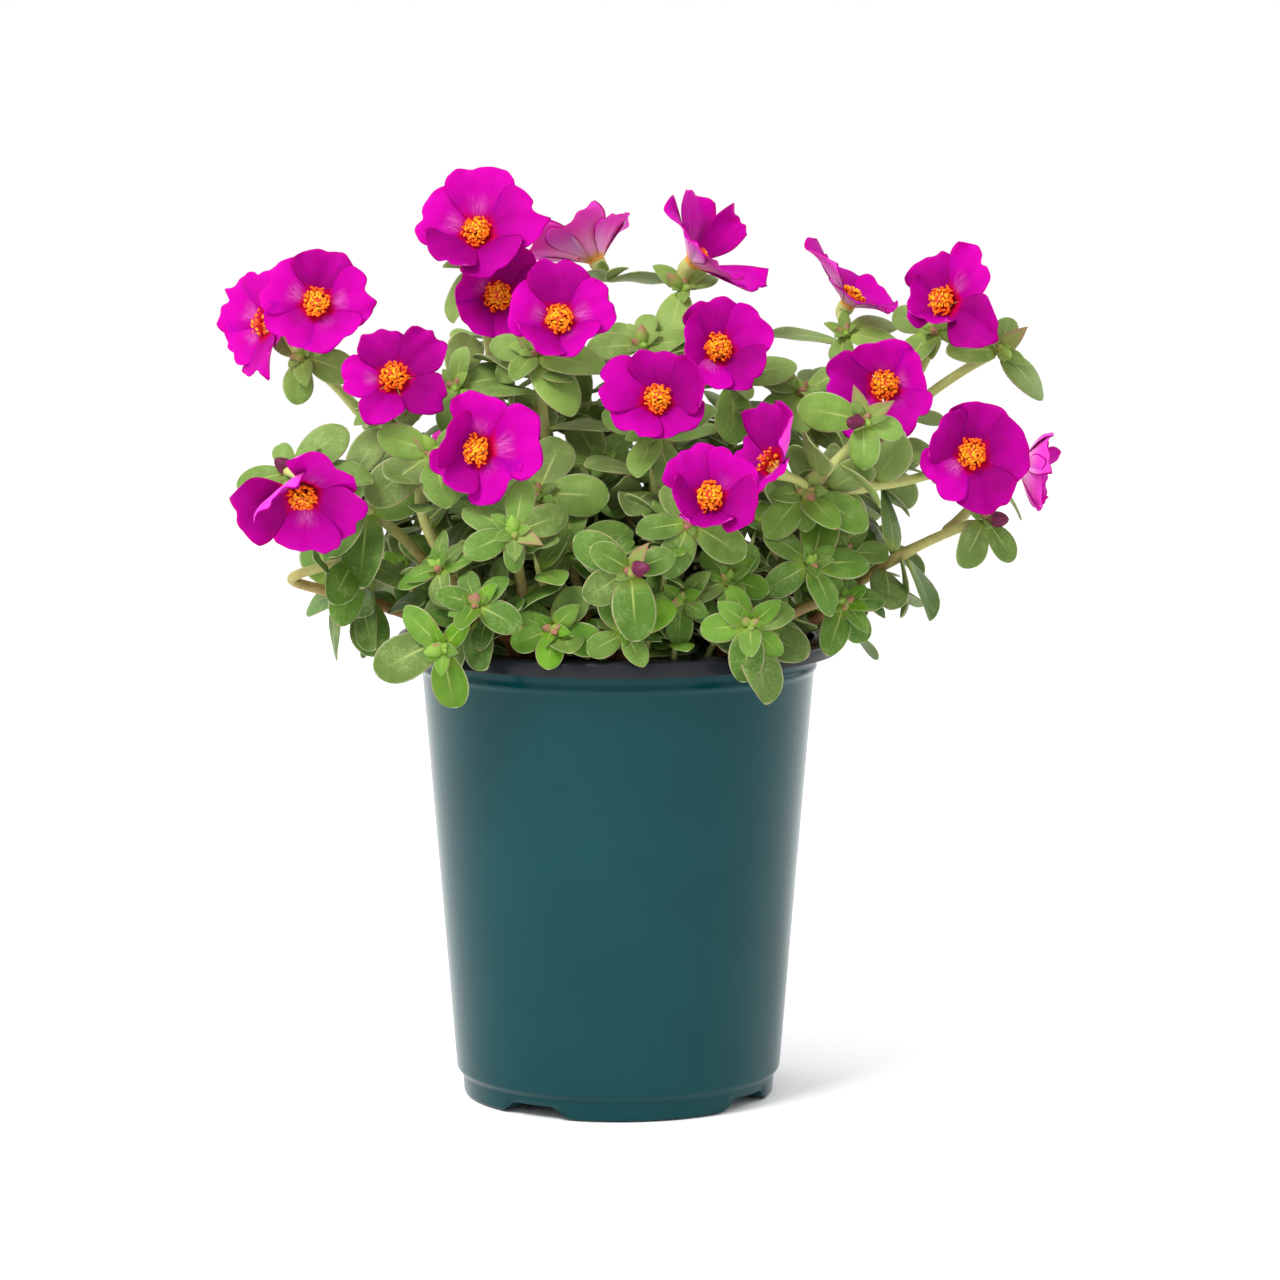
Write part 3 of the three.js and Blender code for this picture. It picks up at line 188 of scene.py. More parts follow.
class Growth:
    """Collects closed skins and makes one smooth mesh of them."""

    def __init__(self):
        self.points, self.faces, self.values, self.slots = [], [], [], []
        self.count = 0

    def put(self, points, faces, values, slot):
        """Adds a skin's points, its triangles, the numbers of its points and its finish's place."""
        self.points.append(points)
        self.faces.append(faces + self.count)
        self.values.append(values)
        self.slots.append(np.full(len(faces), slot))
        self.count += len(points)

    def rings(self, rings, values, slot=0):
        """Rings that run counter-clockwise about the way they follow each other; both ends become poles.

        Corner (i, k) joins (i, k+1), (i+1, k+1) and (i+1, k) in two triangles, and a pole is joined
        to each side of the ring beside it.
        """
        count, sides = rings.shape[:2]
        k = np.arange(sides)
        j = (k + 1) % sides
        first = 1 + sides * np.arange(count - 3)[:, None]
        a, b, c, d = first + k, first + j, first + sides + j, first + sides + k
        body = np.stack([a, b, c, a, c, d], -1).reshape(-1, 3)
        last = 1 + sides * (count - 3)
        end = 1 + sides * (count - 2)
        start_fan = np.stack([0 * k, 1 + j, 1 + k], -1)
        end_fan = np.stack([last + k, last + j, 0 * k + end], -1)
        self.put(poled(rings), np.concatenate([start_fan, body, end_fan]), poled(values), slot)

    def sheet(self, middle, thickness, values, back_values, slot=0):
        """A sheet: its middle surface moved half a thickness along its normals, up and down.

        The normals are the cross product of the surface's slopes along its rows and its columns.
        The thickness fades to nothing at the border, where the front and the back share their points.
        """
        rows, columns = middle.shape[:2]
        normal = np.cross(np.gradient(middle, axis=0), np.gradient(middle, axis=1))
        normal /= np.linalg.norm(normal, axis=-1, keepdims=True) + 1e-9
        u = np.linspace(-1, 1, rows)[:, None]
        v = np.linspace(-1, 1, columns)[None]
        lift = (thickness / 2) * np.sqrt((1 - u**8) * (1 - v**8))[..., None] * normal
        front = np.arange(rows * columns).reshape(rows, columns)
        inside = np.zeros((rows, columns), bool)
        inside[1:-1, 1:-1] = True
        back = front.copy()
        back[inside] = rows * columns + np.arange(inside.sum())
        points = np.concatenate([(middle + lift).reshape(-1, 3), (middle - lift)[inside]])
        numbers = np.concatenate([values.reshape(-1, 4), back_values[inside]])
        a, b, c, d = corners(front)
        e, f, g, h = corners(back)
        up = np.stack([a, b, c, a, c, d], -1).reshape(-1, 3)
        down = np.stack([e, g, f, e, h, g], -1).reshape(-1, 3)
        self.put(points, np.concatenate([up, down]), numbers, slot)

    def build(self, name, materials, slot, *nodes):
        """The mesh with its numbers in the attribute named skin, riding on the body. Its slot is not
        used.
        """
        points = (np.concatenate(self.points) * MM).astype(np.float32)
        faces = np.concatenate(self.faces).astype(np.int32)
        mesh = bpy.data.meshes.new(name)
        mesh.vertices.add(len(points))
        mesh.vertices.foreach_set("co", points.ravel())
        mesh.loops.add(faces.size)
        mesh.loops.foreach_set("vertex_index", faces.ravel())
        mesh.polygons.add(len(faces))
        mesh.polygons.foreach_set("loop_start", np.arange(0, faces.size, 3, dtype=np.int32))
        mesh.update(calc_edges=True)
        mesh.polygons.foreach_set("material_index", np.concatenate(self.slots).astype(np.int32))
        mesh.polygons.foreach_set("use_smooth", np.ones(len(faces), bool))
        numbers = mesh.attributes.new("skin", "FLOAT_COLOR", "POINT")
        numbers.data.foreach_set("color", np.concatenate(self.values).astype(np.float32).ravel())
        for material in materials:
            mesh.materials.append(material)
        piece = bpy.data.objects.new(name, mesh)
        bpy.context.collection.objects.link(piece)
        if nodes:
            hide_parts(*nodes)
        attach(piece, "root")
        return piece


print("skins carry 4 numbers a point")

# %% [markdown]
# ## Finishes as sums
# Leaf margins, midribs and petal streaks all follow the skin, so their colours are sums on the
# numbers that each point carries. Wiring dozens of Math nodes by hand hides the idea. A small class
# wraps a socket instead, so that 1 - across * across is written as it is thought.

# %% A socket that can be added and multiplied


def hue(text):
    """A colour written as six hex digits, as the linear numbers that a shader takes."""
    part = np.array([int(text[i : i + 2], 16) for i in (0, 2, 4)]) / 255
    return (*np.where(part <= 0.04045, part / 12.92, ((part + 0.055) / 1.055) ** 2.4).tolist(), 1.0)


class Sock:
    """A node's socket. Sums on it add Math nodes to its finish."""

    def __init__(self, finish, socket):
        self.finish, self.socket = finish, socket

    def math(self, operation, *others):
        """A Math node whose inputs are this socket and the others."""
        values = dict(enumerate((self, *others)))
        return self.finish.node("ShaderNodeMath", values, operation=operation)

    def __add__(self, other):
        return self.math("ADD", other)

    __radd__ = __add__

    def __mul__(self, other):
        return self.math("MULTIPLY", other)

    __rmul__ = __mul__

    def __sub__(self, other):
        return self.math("SUBTRACT", other)

    def __rsub__(self, other):
        return self * -1 + other

    def __abs__(self):
        return self.math("ABSOLUTE")

    def fraction(self):
        """What is left above the last whole number."""
        return self.math("FRACT")

    def between(self, low, high):
        """A smooth step from 0 at low to 1 at high."""
        values = {"Value": self, "From Min": low, "From Max": high}
        return self.finish.node("ShaderNodeMapRange", values, interpolation_type="SMOOTHSTEP")


class Finish:
    """A Principled material whose varying inputs are sums on sockets."""

    def __init__(self, name, **even):
        self.material = bpy.data.materials.new(name)
        self.material.use_nodes = True
        self.tree = self.material.node_tree
        self.tree.nodes.clear()
        self.shader = self.tree.nodes.new("ShaderNodeBsdfPrincipled")
        output = self.tree.nodes.new("ShaderNodeOutputMaterial")
        self.tree.links.new(self.shader.outputs[0], output.inputs[0])
        for socket, value in even.items():
            self.shader.inputs[socket.replace("_", " ")].default_value = value

    def node(self, kind, inputs=None, pick=0, **settings):
        """Adds a node of a kind: its settings first, then its inputs, by name or number."""
        made = self.tree.nodes.new(kind)
        for key, value in settings.items():
            setattr(made, key, value)
        for key, value in (inputs or {}).items():
            self.feed(made.inputs[key], value)
        return Sock(self, made.outputs[pick])

    def feed(self, socket, value):
        """Links a sum to a socket, or sets the socket to a plain value."""
        if isinstance(value, Sock):
            self.tree.links.new(value.socket, socket)
        else:
            socket.default_value = value

    def vary(self, **inputs):
        """Feeds the shader's inputs that change over the skin."""
        for key, value in inputs.items():
            self.feed(self.shader.inputs[key.replace("_", " ")], value)

    def skin(self):
        """The four numbers that each point of a skin carries."""
        colour = self.node("ShaderNodeAttribute", pick="Color", attribute_name="skin")
        fourth = self.node("ShaderNodeAttribute", pick="Alpha", attribute_name="skin")
        split = self.tree.nodes.new("ShaderNodeSeparateColor")
        self.tree.links.new(colour.socket, split.inputs[0])
        return (*[Sock(self, out) for out in split.outputs], fourth)

    def place(self):
        """Where a point lies on the object, in metres."""
        return self.node("ShaderNodeTexCoord", pick="Object")

    def spot(self, *parts):
        """A vector from three numbers or sockets."""
        return self.node("ShaderNodeCombineXYZ", dict(enumerate(parts)))

    def noise(self, scale, detail=3.0, at=None):
        """Soft noise from 0 to 1 over the object, or over a vector of its own."""
        values = {"Scale": scale, "Detail": detail, "Vector": at or self.place()}
        return self.node("ShaderNodeTexNoise", values)

    def mix(self, first, second, share):
        """Two colours mixed by a share from 0 to 1."""
        values = {0: share, 6: first, 7: second}
        return self.node("ShaderNodeMix", values, pick=2, data_type="RGBA")

    def bump(self, height, strength, distance):
        """A relief that the shader's normal follows."""
        values = {"Height": height, "Strength": strength, "Distance": distance}
        self.vary(Normal=self.node("ShaderNodeBump", values))


print("a leaf green as linear numbers:", np.round(hue("5f7a3c"), 3))

# %% [markdown]
# ## Camera, light and floor
# The plant is seen from two metres away and a little from above, with a long lens that flattens it.
# The light of a product picture is soft and comes from everywhere, with a broad bright panel on
# each side that draws the pale edges of the pot. An even white world does most of it, and three
# large panels add the shape. The floor is plain and pale.

# %% Camera and white world
EYE, DOWNWARD, LENS = (0.0084, -2.070, 0.451), 0.1321, 152.6  # metres, radians and millimetres
WORLD_STRENGTH = 1.03

camera = bpy.data.objects.new("camera", bpy.data.cameras.new("camera"))
camera.location = EYE
camera.rotation_euler = (np.pi / 2 - DOWNWARD, 0, 0)
camera.data.lens = LENS
camera.data.clip_end = 200
bpy.context.collection.objects.link(camera)
bpy.context.scene.camera = camera
bpy.context.scene.view_settings.view_transform = "Standard"

world = bpy.data.worlds.new("studio")
world.use_nodes = True
world.node_tree.nodes["Background"].inputs[0].default_value = (1, 1, 1, 1)
world.node_tree.nodes["Background"].inputs[1].default_value = WORLD_STRENGTH
bpy.context.scene.world = world
print("the camera is", round(float(np.linalg.norm(EYE)), 2), "m away, with a lens of", LENS, "mm")

# %% Panels and floor
FLOOR_REACH, FLOOR_DROP = 30, 0.0004  # metres: the floor lies a hair below the pot's foot
PANELS = {  # place, the point it faces, size and power
    "key_panel": ((-0.8, -1.0, 1.7), (0, 0, 0.25), 0.7, 32),
    "fill_panel": ((1.3, 0.95, 0.8), (0, 0, 0.15), 0.9, 6.5),
    "back_panel": ((-1.2, 0.8, 0.9), (0, 0, 0.15), 0.9, 6),
}
for name, (place, target, size, power) in PANELS.items():
    light = bpy.data.lights.new(name, "AREA")
    light.size, light.energy = size, power
    panel = bpy.data.objects.new(name, light)
    panel.location = place
    away = unit(np.array(place) - np.array(target))
    level = np.cross([0, 0, 1], away)
    turn = np.array([unit(level), unit(np.cross(away, level)), away])
    panel.matrix_world = Matrix([[*turn[:, i], place[i]] for i in range(3)] + [[0, 0, 0, 1]])
    bpy.context.collection.objects.link(panel)

ground = Finish("pale_floor", Roughness=0.9, Specular_IOR_Level=0.1)
ground.vary(Base_Color=ground.mix(hue("fafaf9"), hue("fefefe"), ground.noise(3)))
edges = [(-1, -1), (1, -1), (1, 1), (-1, 1)]
mesh = bpy.data.meshes.new("floor")
mesh.from_pydata([(FLOOR_REACH * x, FLOOR_REACH * y, -FLOOR_DROP) for x, y in edges], [], [(0, 1, 2, 3)])
mesh.materials.append(ground.material)
floor = bpy.data.objects.new("floor", mesh)
bpy.context.collection.objects.link(floor)
floor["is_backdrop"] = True
print("panels:", len(PANELS), "floor:", 2 * FLOOR_REACH, "m wide")

# %% [markdown]
# ## The pot
# The real pot is pressed from one thin sheet of two layers, deep teal outside and black inside. The
# black layer shows on the rolled brim, and a bead runs round just below it. Near the foot the wall
# steps in, and four notches in the foot ring let the water out. A lathe of one rounded section makes
# all of it: the notches are places where the foot's points are lifted, so no cutting is needed.

# %% The pot's section, rounded at its corners
POT_CORNERS = [  # radius, height, rounding, from the middle of the underside over the brim to the inside
    (13, 0, 0.6), (15, 4.5, 0.6), (48, 4.5, 0.8), (50, 0, 0.8), (59.8, 0, 1.2), (60.4, 7.6, 0.8),
    (62.6, 9.8, 1.2), (75.4, 164.6, 1.0), (76.7, 166.4, 0.9), (76.0, 168.6, 0.9), (76.8, 176.6, 1.2),
    (83.4, 177.2, 0.5), (83.8, 172.8, 0.4), (85.2, 172.6, 0.5), (85.2, 178.8, 2.4), (75.6, 178.8, 1.6),
    (74.1, 166, 1.2), (61.2, 11.2, 1.2), (58.4, 5.9, 1.2),
]
SEAM = 13  # the black layer starts at this corner, the lip's lower edge
POT_HEIGHT = 180


def rounded(corners, steps):
    """A line of points in which each corner is an arc of a parabola that starts its rounding away."""
    places = np.array([corner[:2] for corner in corners], float)
    share = np.linspace(0, 1, steps)[:, None]
    line, after_seam = [places[:1]], [0]
    for i in range(1, len(places) - 1):
        reach = corners[i][2]
        before = places[i] + unit(places[i - 1] - places[i]) * reach
        after = places[i] + unit(places[i + 1] - places[i]) * reach
        arc = (1 - share) ** 2 * before + 2 * share * (1 - share) * places[i] + share**2 * after
        line.append(arc)
        after_seam += [i >= SEAM] * steps
    line.append(places[-1:])
    return np.concatenate(line), np.array(after_seam + [True])


def filled(line, marks, longest):
    """The line with points added so that no two neighbours are further apart than the longest step."""
    out, out_marks = [line[:1]], [marks[:1]]
    for a, b, mark in zip(line[:-1], line[1:], marks[1:]):
        count = max(1, int(np.ceil(np.linalg.norm(b - a) / longest)))
        share = np.arange(1, count + 1)[:, None] / count
        out.append(a + share * (b - a))
        out_marks.append(np.full(count, mark))
    return np.concatenate(out), np.concatenate(out_marks)


line, black = rounded(POT_CORNERS, 5)
line, black = filled(line, black, 8.0)
print("section of", len(line), "points, black from", int(np.argmax(black)))

# %% The pot as a lathe with notches in its foot
NOTCHES = np.radians([-123, -33, 57, 147])  # from the front, towards the right
NOTCH_HALF, NOTCH_SLOPE, NOTCH_TOP = np.radians(7.6), np.radians(8.2), 4.5
FOOT_RING = 46  # the foot ring lies farther out than this, and below the notches' top


def lathe(line, sides):
    """Rings about Z from a line of radius and height: x = r sin a, y = -r cos a, z = h.

    In a notch the foot's points are lifted to a smooth ramp, which rises over the slope's angle to
    the notch's top.
    """
    angle = circle(sides)
    away = np.abs((angle[:, None] - NOTCHES + np.pi) % (2 * np.pi) - np.pi).min(1)
    ramp = NOTCH_TOP * np.clip(1 - (away - NOTCH_HALF) / NOTCH_SLOPE, 0, 1)
    ramp = ramp * ramp * (3 * NOTCH_TOP - 2 * ramp) / NOTCH_TOP**2
    r, h = line[:, :1], line[:, 1:]
    foot = (r > FOOT_RING) & (h < NOTCH_TOP)
    height = np.where(foot, np.maximum(h, ramp[None]), h + 0 * angle)
    return np.stack([r * np.sin(angle), -r * np.cos(angle), height], -1)


pot = Growth()
rings = lathe(line, 160)
rings = np.concatenate([rings[:1] * [0, 0, 1], rings, rings[-1:] * [0, 0, 1]])
marks = np.concatenate([black[:1], black, black[-1:]]).astype(float)[:, None]
pot.rings(rings, number(rings.shape[:2], marks, rings[..., 2] / POT_HEIGHT, 0, 1))
print("pot rings:", rings.shape)

# %% Pot finish: teal outside and black inside
plastic = Finish("pot_plastic", IOR=1.25)
inside, *_ = plastic.skin()
cloudy = plastic.noise(38, 4)
teal = plastic.mix(hue("01373c"), hue("054044"), cloudy)
soot = plastic.mix(hue("181a1e"), hue("25272c"), cloudy)
plastic.vary(Base_Color=plastic.mix(teal, soot, inside), Roughness=0.17 + 0.1 * cloudy + 0.03 * inside)
plastic.bump(plastic.noise(14, 2), 0.12, 0.0006)
pot_piece = pot.build("pot_fine", [plastic.material], "pot_plastic", "pot")
print("nodes of the pot's finish:", len(plastic.tree.nodes))

# %% Drain holes through the pot's floor
HOLES = 8
HOLE_CIRCLE, HOLE_RADIUS, HOLE_LOW, HOLE_HIGH = 36, 5, 2.0, 9.0  # millimetres

drill = np.array([(0, HOLE_LOW), (HOLE_RADIUS, HOLE_LOW), (HOLE_RADIUS, HOLE_HIGH), (0, HOLE_HIGH)])
drill = turned(drill[:, :1], drill[:, 1:], circle(32))
cutters = Growth()
for turn in 2 * np.pi * (np.arange(HOLES) + 0.5) / HOLES:
    rings = [HOLE_CIRCLE * np.cos(turn), HOLE_CIRCLE * np.sin(turn), 0] + drill
    cutters.rings(rings, number(rings.shape[:2], 1, 0, 0, 1))
cutter = cutters.build("cutters", [], "pot_plastic")
cut = pot_piece.modifiers.new("drain", "BOOLEAN")
cut.object, cut.solver = cutter, "EXACT"
bpy.context.view_layer.update()
drained = bpy.data.meshes.new_from_object(pot_piece.evaluated_get(bpy.context.evaluated_depsgraph_get()))
pot_piece.modifiers.clear()
pot_piece.data = drained
bpy.data.objects.remove(cutter)
print("pot faces:", len(drained.polygons), "with the skin's numbers:", "skin" in drained.attributes)

# %% [markdown]
# ## Potting mix
# The mix is peat and fine bark, nearly black when wet. It fills the pot to a few millimetres below
# the brim. Only its top shows, so a smooth plug gets a lumpy top with crumbs, and the finish adds
# the grain. The crumbs are small closed pebbles of bark strewn over the top.

# %% The plug and its lumps
MIX_TOP, MIX_RADIUS = 166, 73  # millimetres


def lumps(x, y):
    """Height of the mix over its mean in millimetres: sine waves in x and y that cross each other."""
    wide = 0.6 * np.sin(x / 7 + 1) * np.cos(y / 8) + 0.4 * np.sin((x - y) / 5)
    return 1.1 * wide + 0.5 * np.sin(x / 2.3 + y / 3.1) * np.sin(y / 2.1)


mix = Growth()
plug = [(0, 6.2), (57, 6.2), (60.4, 12.2), (66, 80), (72.6, 163.2), (MIX_RADIUS, 164.6)]
plug += [(MIX_RADIUS * (1 - k / 30), MIX_TOP) for k in range(2, 30)] + [(0, MIX_TOP)]
plug = np.array(plug)
rings = lathe(plug, 128)
top = (plug[:, 1:] > MIX_TOP - 1) * np.clip((MIX_RADIUS - plug[:, :1]) / 6, 0, 1)
rings[..., 2] += top * lumps(rings[..., 0], rings[..., 1])
mix.rings(rings, number(rings.shape[:2], 0.3, 0, 0, 0))
print("points of the plug:", mix.count)

# %% Crumbs on the mix, and its finish
CRUMBS = 420

rise = np.linspace(0, np.pi, 5)[:, None]
ball = turned(np.sin(rise), -np.cos(rise), circle(6))
draw = draws(77)
for _ in range(CRUMBS):
    reach, turn = (MIX_RADIUS - 2) * np.sqrt(draw()), 2 * np.pi * draw()
    x, y = reach * np.cos(turn), reach * np.sin(turn)
    axes = facing([draw() - 0.5, draw() - 0.5, 0.6 * draw()]) * np.array([[1.2], [0.9], [2.4 + draw()]])
    crumb = [x, y, MIX_TOP + 0.1 + lumps(x, y)] + (ball * (0.8 + 0.4 * draw())) @ axes
    mix.rings(crumb, number(crumb.shape[:2], draw(), 1, 0, 0))

peat = Finish("potting_mix", Roughness=0.95, Specular_IOR_Level=0.2)
shade, crumbly, *_ = peat.skin()
grain = peat.noise(900, 8)
dark = peat.mix(hue("0d0906"), hue("2a1f17"), grain.between(0.35, 0.75))
peat.vary(Base_Color=peat.mix(dark, hue("4a3626"), crumbly * shade * grain))
peat.bump(grain, 0.8, 0.001)
mix.build("soil_fine", [peat.material], "potting_mix", "soil")
print("points of the mix with its crumbs:", mix.count)

# %% [markdown]
# ## Where everything grows
# The twelve plants are lists of stems and rosettes, and the flowers are a list of places and
# directions, the same numbers from which the solids were made. A stem leaves the crown (parent -1) or
# its parent at a share of its length, in a direction, and ends at a point in another direction. A
# rosette sits on a stem with an axis, and its leaves stand round it like the hands of a clock.

# %% What a plant and a rosette are


class Rosette(NamedTuple):
    """Its stem, its share of the stem's length and its axis, then what it bears.

    A leaf, bud or sepal is (clock, length), and a leaf may add its own angle to the axis.
    """

    stem: int
    share: float
    axis: tuple
    leaves: list
    buds: tuple = ()
    sepals: tuple = ()


class Plant(NamedTuple):
    """A stem is (parent, share of it, first direction, end, last direction) and at times a handle."""

    name: str
    root: tuple
    stems: list
    rosettes: list


print("numbers of a rosette:", Rosette._fields)

# %% The plants on the left and in the middle
PLANTS = [
    Plant("left", (-46, 0), [
        (-1, 0, (-4, 0, 10), (-121, 4, 285), (-7, -3, 6)),
        (-1, 0, (-5, -4, 9), (-121, -56, 246), (-8, -3, 3)),
        (-1, 0, (-9, -4, 8), (-99, -42, 212), (9, 0, 2), 62),
        (0, 0.45, (-6, 3, 5), (-104, 26, 226), (-6, 2, 6)),
    ], [
        Rosette(0, 1, (-2, -8, 3), [(185, 18), (112, 22), (72, 26), (300, 16)]),
        Rosette(0, 0.8, (-4, -2, 8), [(90, 20)]),
        Rosette(0, 0.55, (-4, -2, 8), [(60, 22), (230, 22)]),
        Rosette(1, 1, (-3, -7, 6), [(258, 21), (48, 25), (96, 30), (200, 20), (330, 14)],
                buds=[(300, 7)]),
        Rosette(1, 0.72, (-2, -8, 4), [(185, 30, 84), (80, 20)]),
        Rosette(2, 1, (3, -6, 6), [(180, 26, 88), (210, 24), (120, 22), (20, 14)]),
        Rosette(2, 0.35, (-4, -7, 4), [(170, 22, 88)]),
        Rosette(3, 1, (-7, 3, 6), [(0, 24), (85, 24), (170, 26), (260, 24)]),
    ]),
    Plant("front_left", (-34, -42), [
        (-1, 0, (-4, -2, 10), (-68, -52, 253), (6, 1, 7)),
        (0, 0.9, (-6, 5, 6), (-86, -22, 268), (-2, -2, 8)),
        (-1, 0, (1, -5, 9), (-38, -77, 226), (0, -7, 6)),
        (-1, 0, (-3, -6, 9), (-64, -82, 184), (-3, -7, -4), 34),
        (0, 0.35, (-5, -6, 6), (-66, -70, 212), (-4, -6, 6)),
        (2, 0.35, (-4, -8, 4), (-52, -82, 200), (-3, -8, 3)),
    ], [
        Rosette(0, 1, (-3, -8, 5), [(232, 30, 86), (254, 27), (180, 23), (120, 20)], buds=[(330, 7)],
                sepals=[(310, 12)]),
        Rosette(1, 1, (-3, -7, 5), [(200, 25, 88), (330, 24), (40, 18), (120, 16)], buds=[(262, 8)]),
        Rosette(2, 1, (0, -9, 4), [(300, 21), (10, 20), (65, 19), (246, 19), (180, 14)], buds=[(350, 6)],
                sepals=[(122, 13)]),
        Rosette(2, 0.55, (-2, -7, 6), [(100, 20)]),
        Rosette(3, 1, (-3, -9, 1), [(178, 22, 92), (318, 20), (285, 19), (40, 15)], buds=[(255, 7)]),
        Rosette(4, 1, (-4, -8, 5), [(0, 14), (80, 13), (165, 15), (250, 16), (310, 14)]),
        Rosette(5, 1, (-1, -9, 4), [(120, 18), (200, 15), (270, 15), (340, 13), (50, 14)]),
    ]),
    Plant("centre_left", (-20, -2), [
        (-1, 0, (-1, -1, 10), (-31, -20, 288), (-1, -4, 8)),
        (-1, 0, (-2, 2, 10), (-54, 13, 319), (-1, 0, 10)),
        (-1, 0, (0, 4, 10), (-43, 28, 288), (0, -3, 8)),
        (1, 0.66, (-4, -4, 6), (-62, -10, 274), (-3, -3, 9)),
        (0, 0.4, (-3, -5, 6), (-30, -38, 236), (-2, -7, 7)),
    ], [
        Rosette(0, 1, (-1, -7, 6), [(150, 28, 92), (205, 16), (282, 17), (250, 19), (112, 28)],
                sepals=[(318, 14)]),
        Rosette(0, 0.62, (0, -4, 8), [(80, 22), (260, 22)]),
        Rosette(1, 1, (0, -5, 8), [(200, 24, 140), (90, 16), (320, 16)], sepals=[(275, 10)]),
        Rosette(2, 1, (0, 3, 9), [(40, 22), (120, 22), (250, 22), (320, 20)]),
        Rosette(3, 1, (-2, -8, 5), [(8, 24), (75, 22), (22, 15, 50), (285, 16), (180, 20)]),
        Rosette(4, 1, (-1, -8, 6), [(20, 24), (95, 26), (180, 22), (265, 24), (320, 20)]),
    ]),
    Plant("centre", (12, -20), [
        (-1, 0, (0, 0, 10), (14, -30, 259), (0, -3, 8)),
        (-1, 0, (0, 4, 10), (9, 12, 288), (-1, -1, 9)),
        (-1, 0, (2, -5, 9), (27, -71, 229), (1, -7, 6)),
        (0, 0.5, (-4, -1, 8), (-6, -14, 244), (-3, -4, 8)),
    ], [
        Rosette(0, 1, (0, -8, 5), [(162, 25, 90), (196, 22), (68, 24), (290, 20)]),
        Rosette(1, 1, (0, -7, 6), [(265, 20), (300, 18), (10, 14), (85, 20), (140, 20)], buds=[(0, 7)]),
        Rosette(1, 0.65, (1, 1, 9), [(90, 24)]),
        Rosette(2, 1, (0, -9, 4), [(260, 19), (204, 21), (124, 23), (310, 16), (40, 14)]),
        Rosette(2, 0.55, (1, -7, 7), [(280, 22)]),
        Rosette(3, 1, (-1, -8, 5), [(90, 26), (160, 22), (270, 20), (330, 22), (30, 18)]),
    ]),
]
print("plants so far:", len(PLANTS))

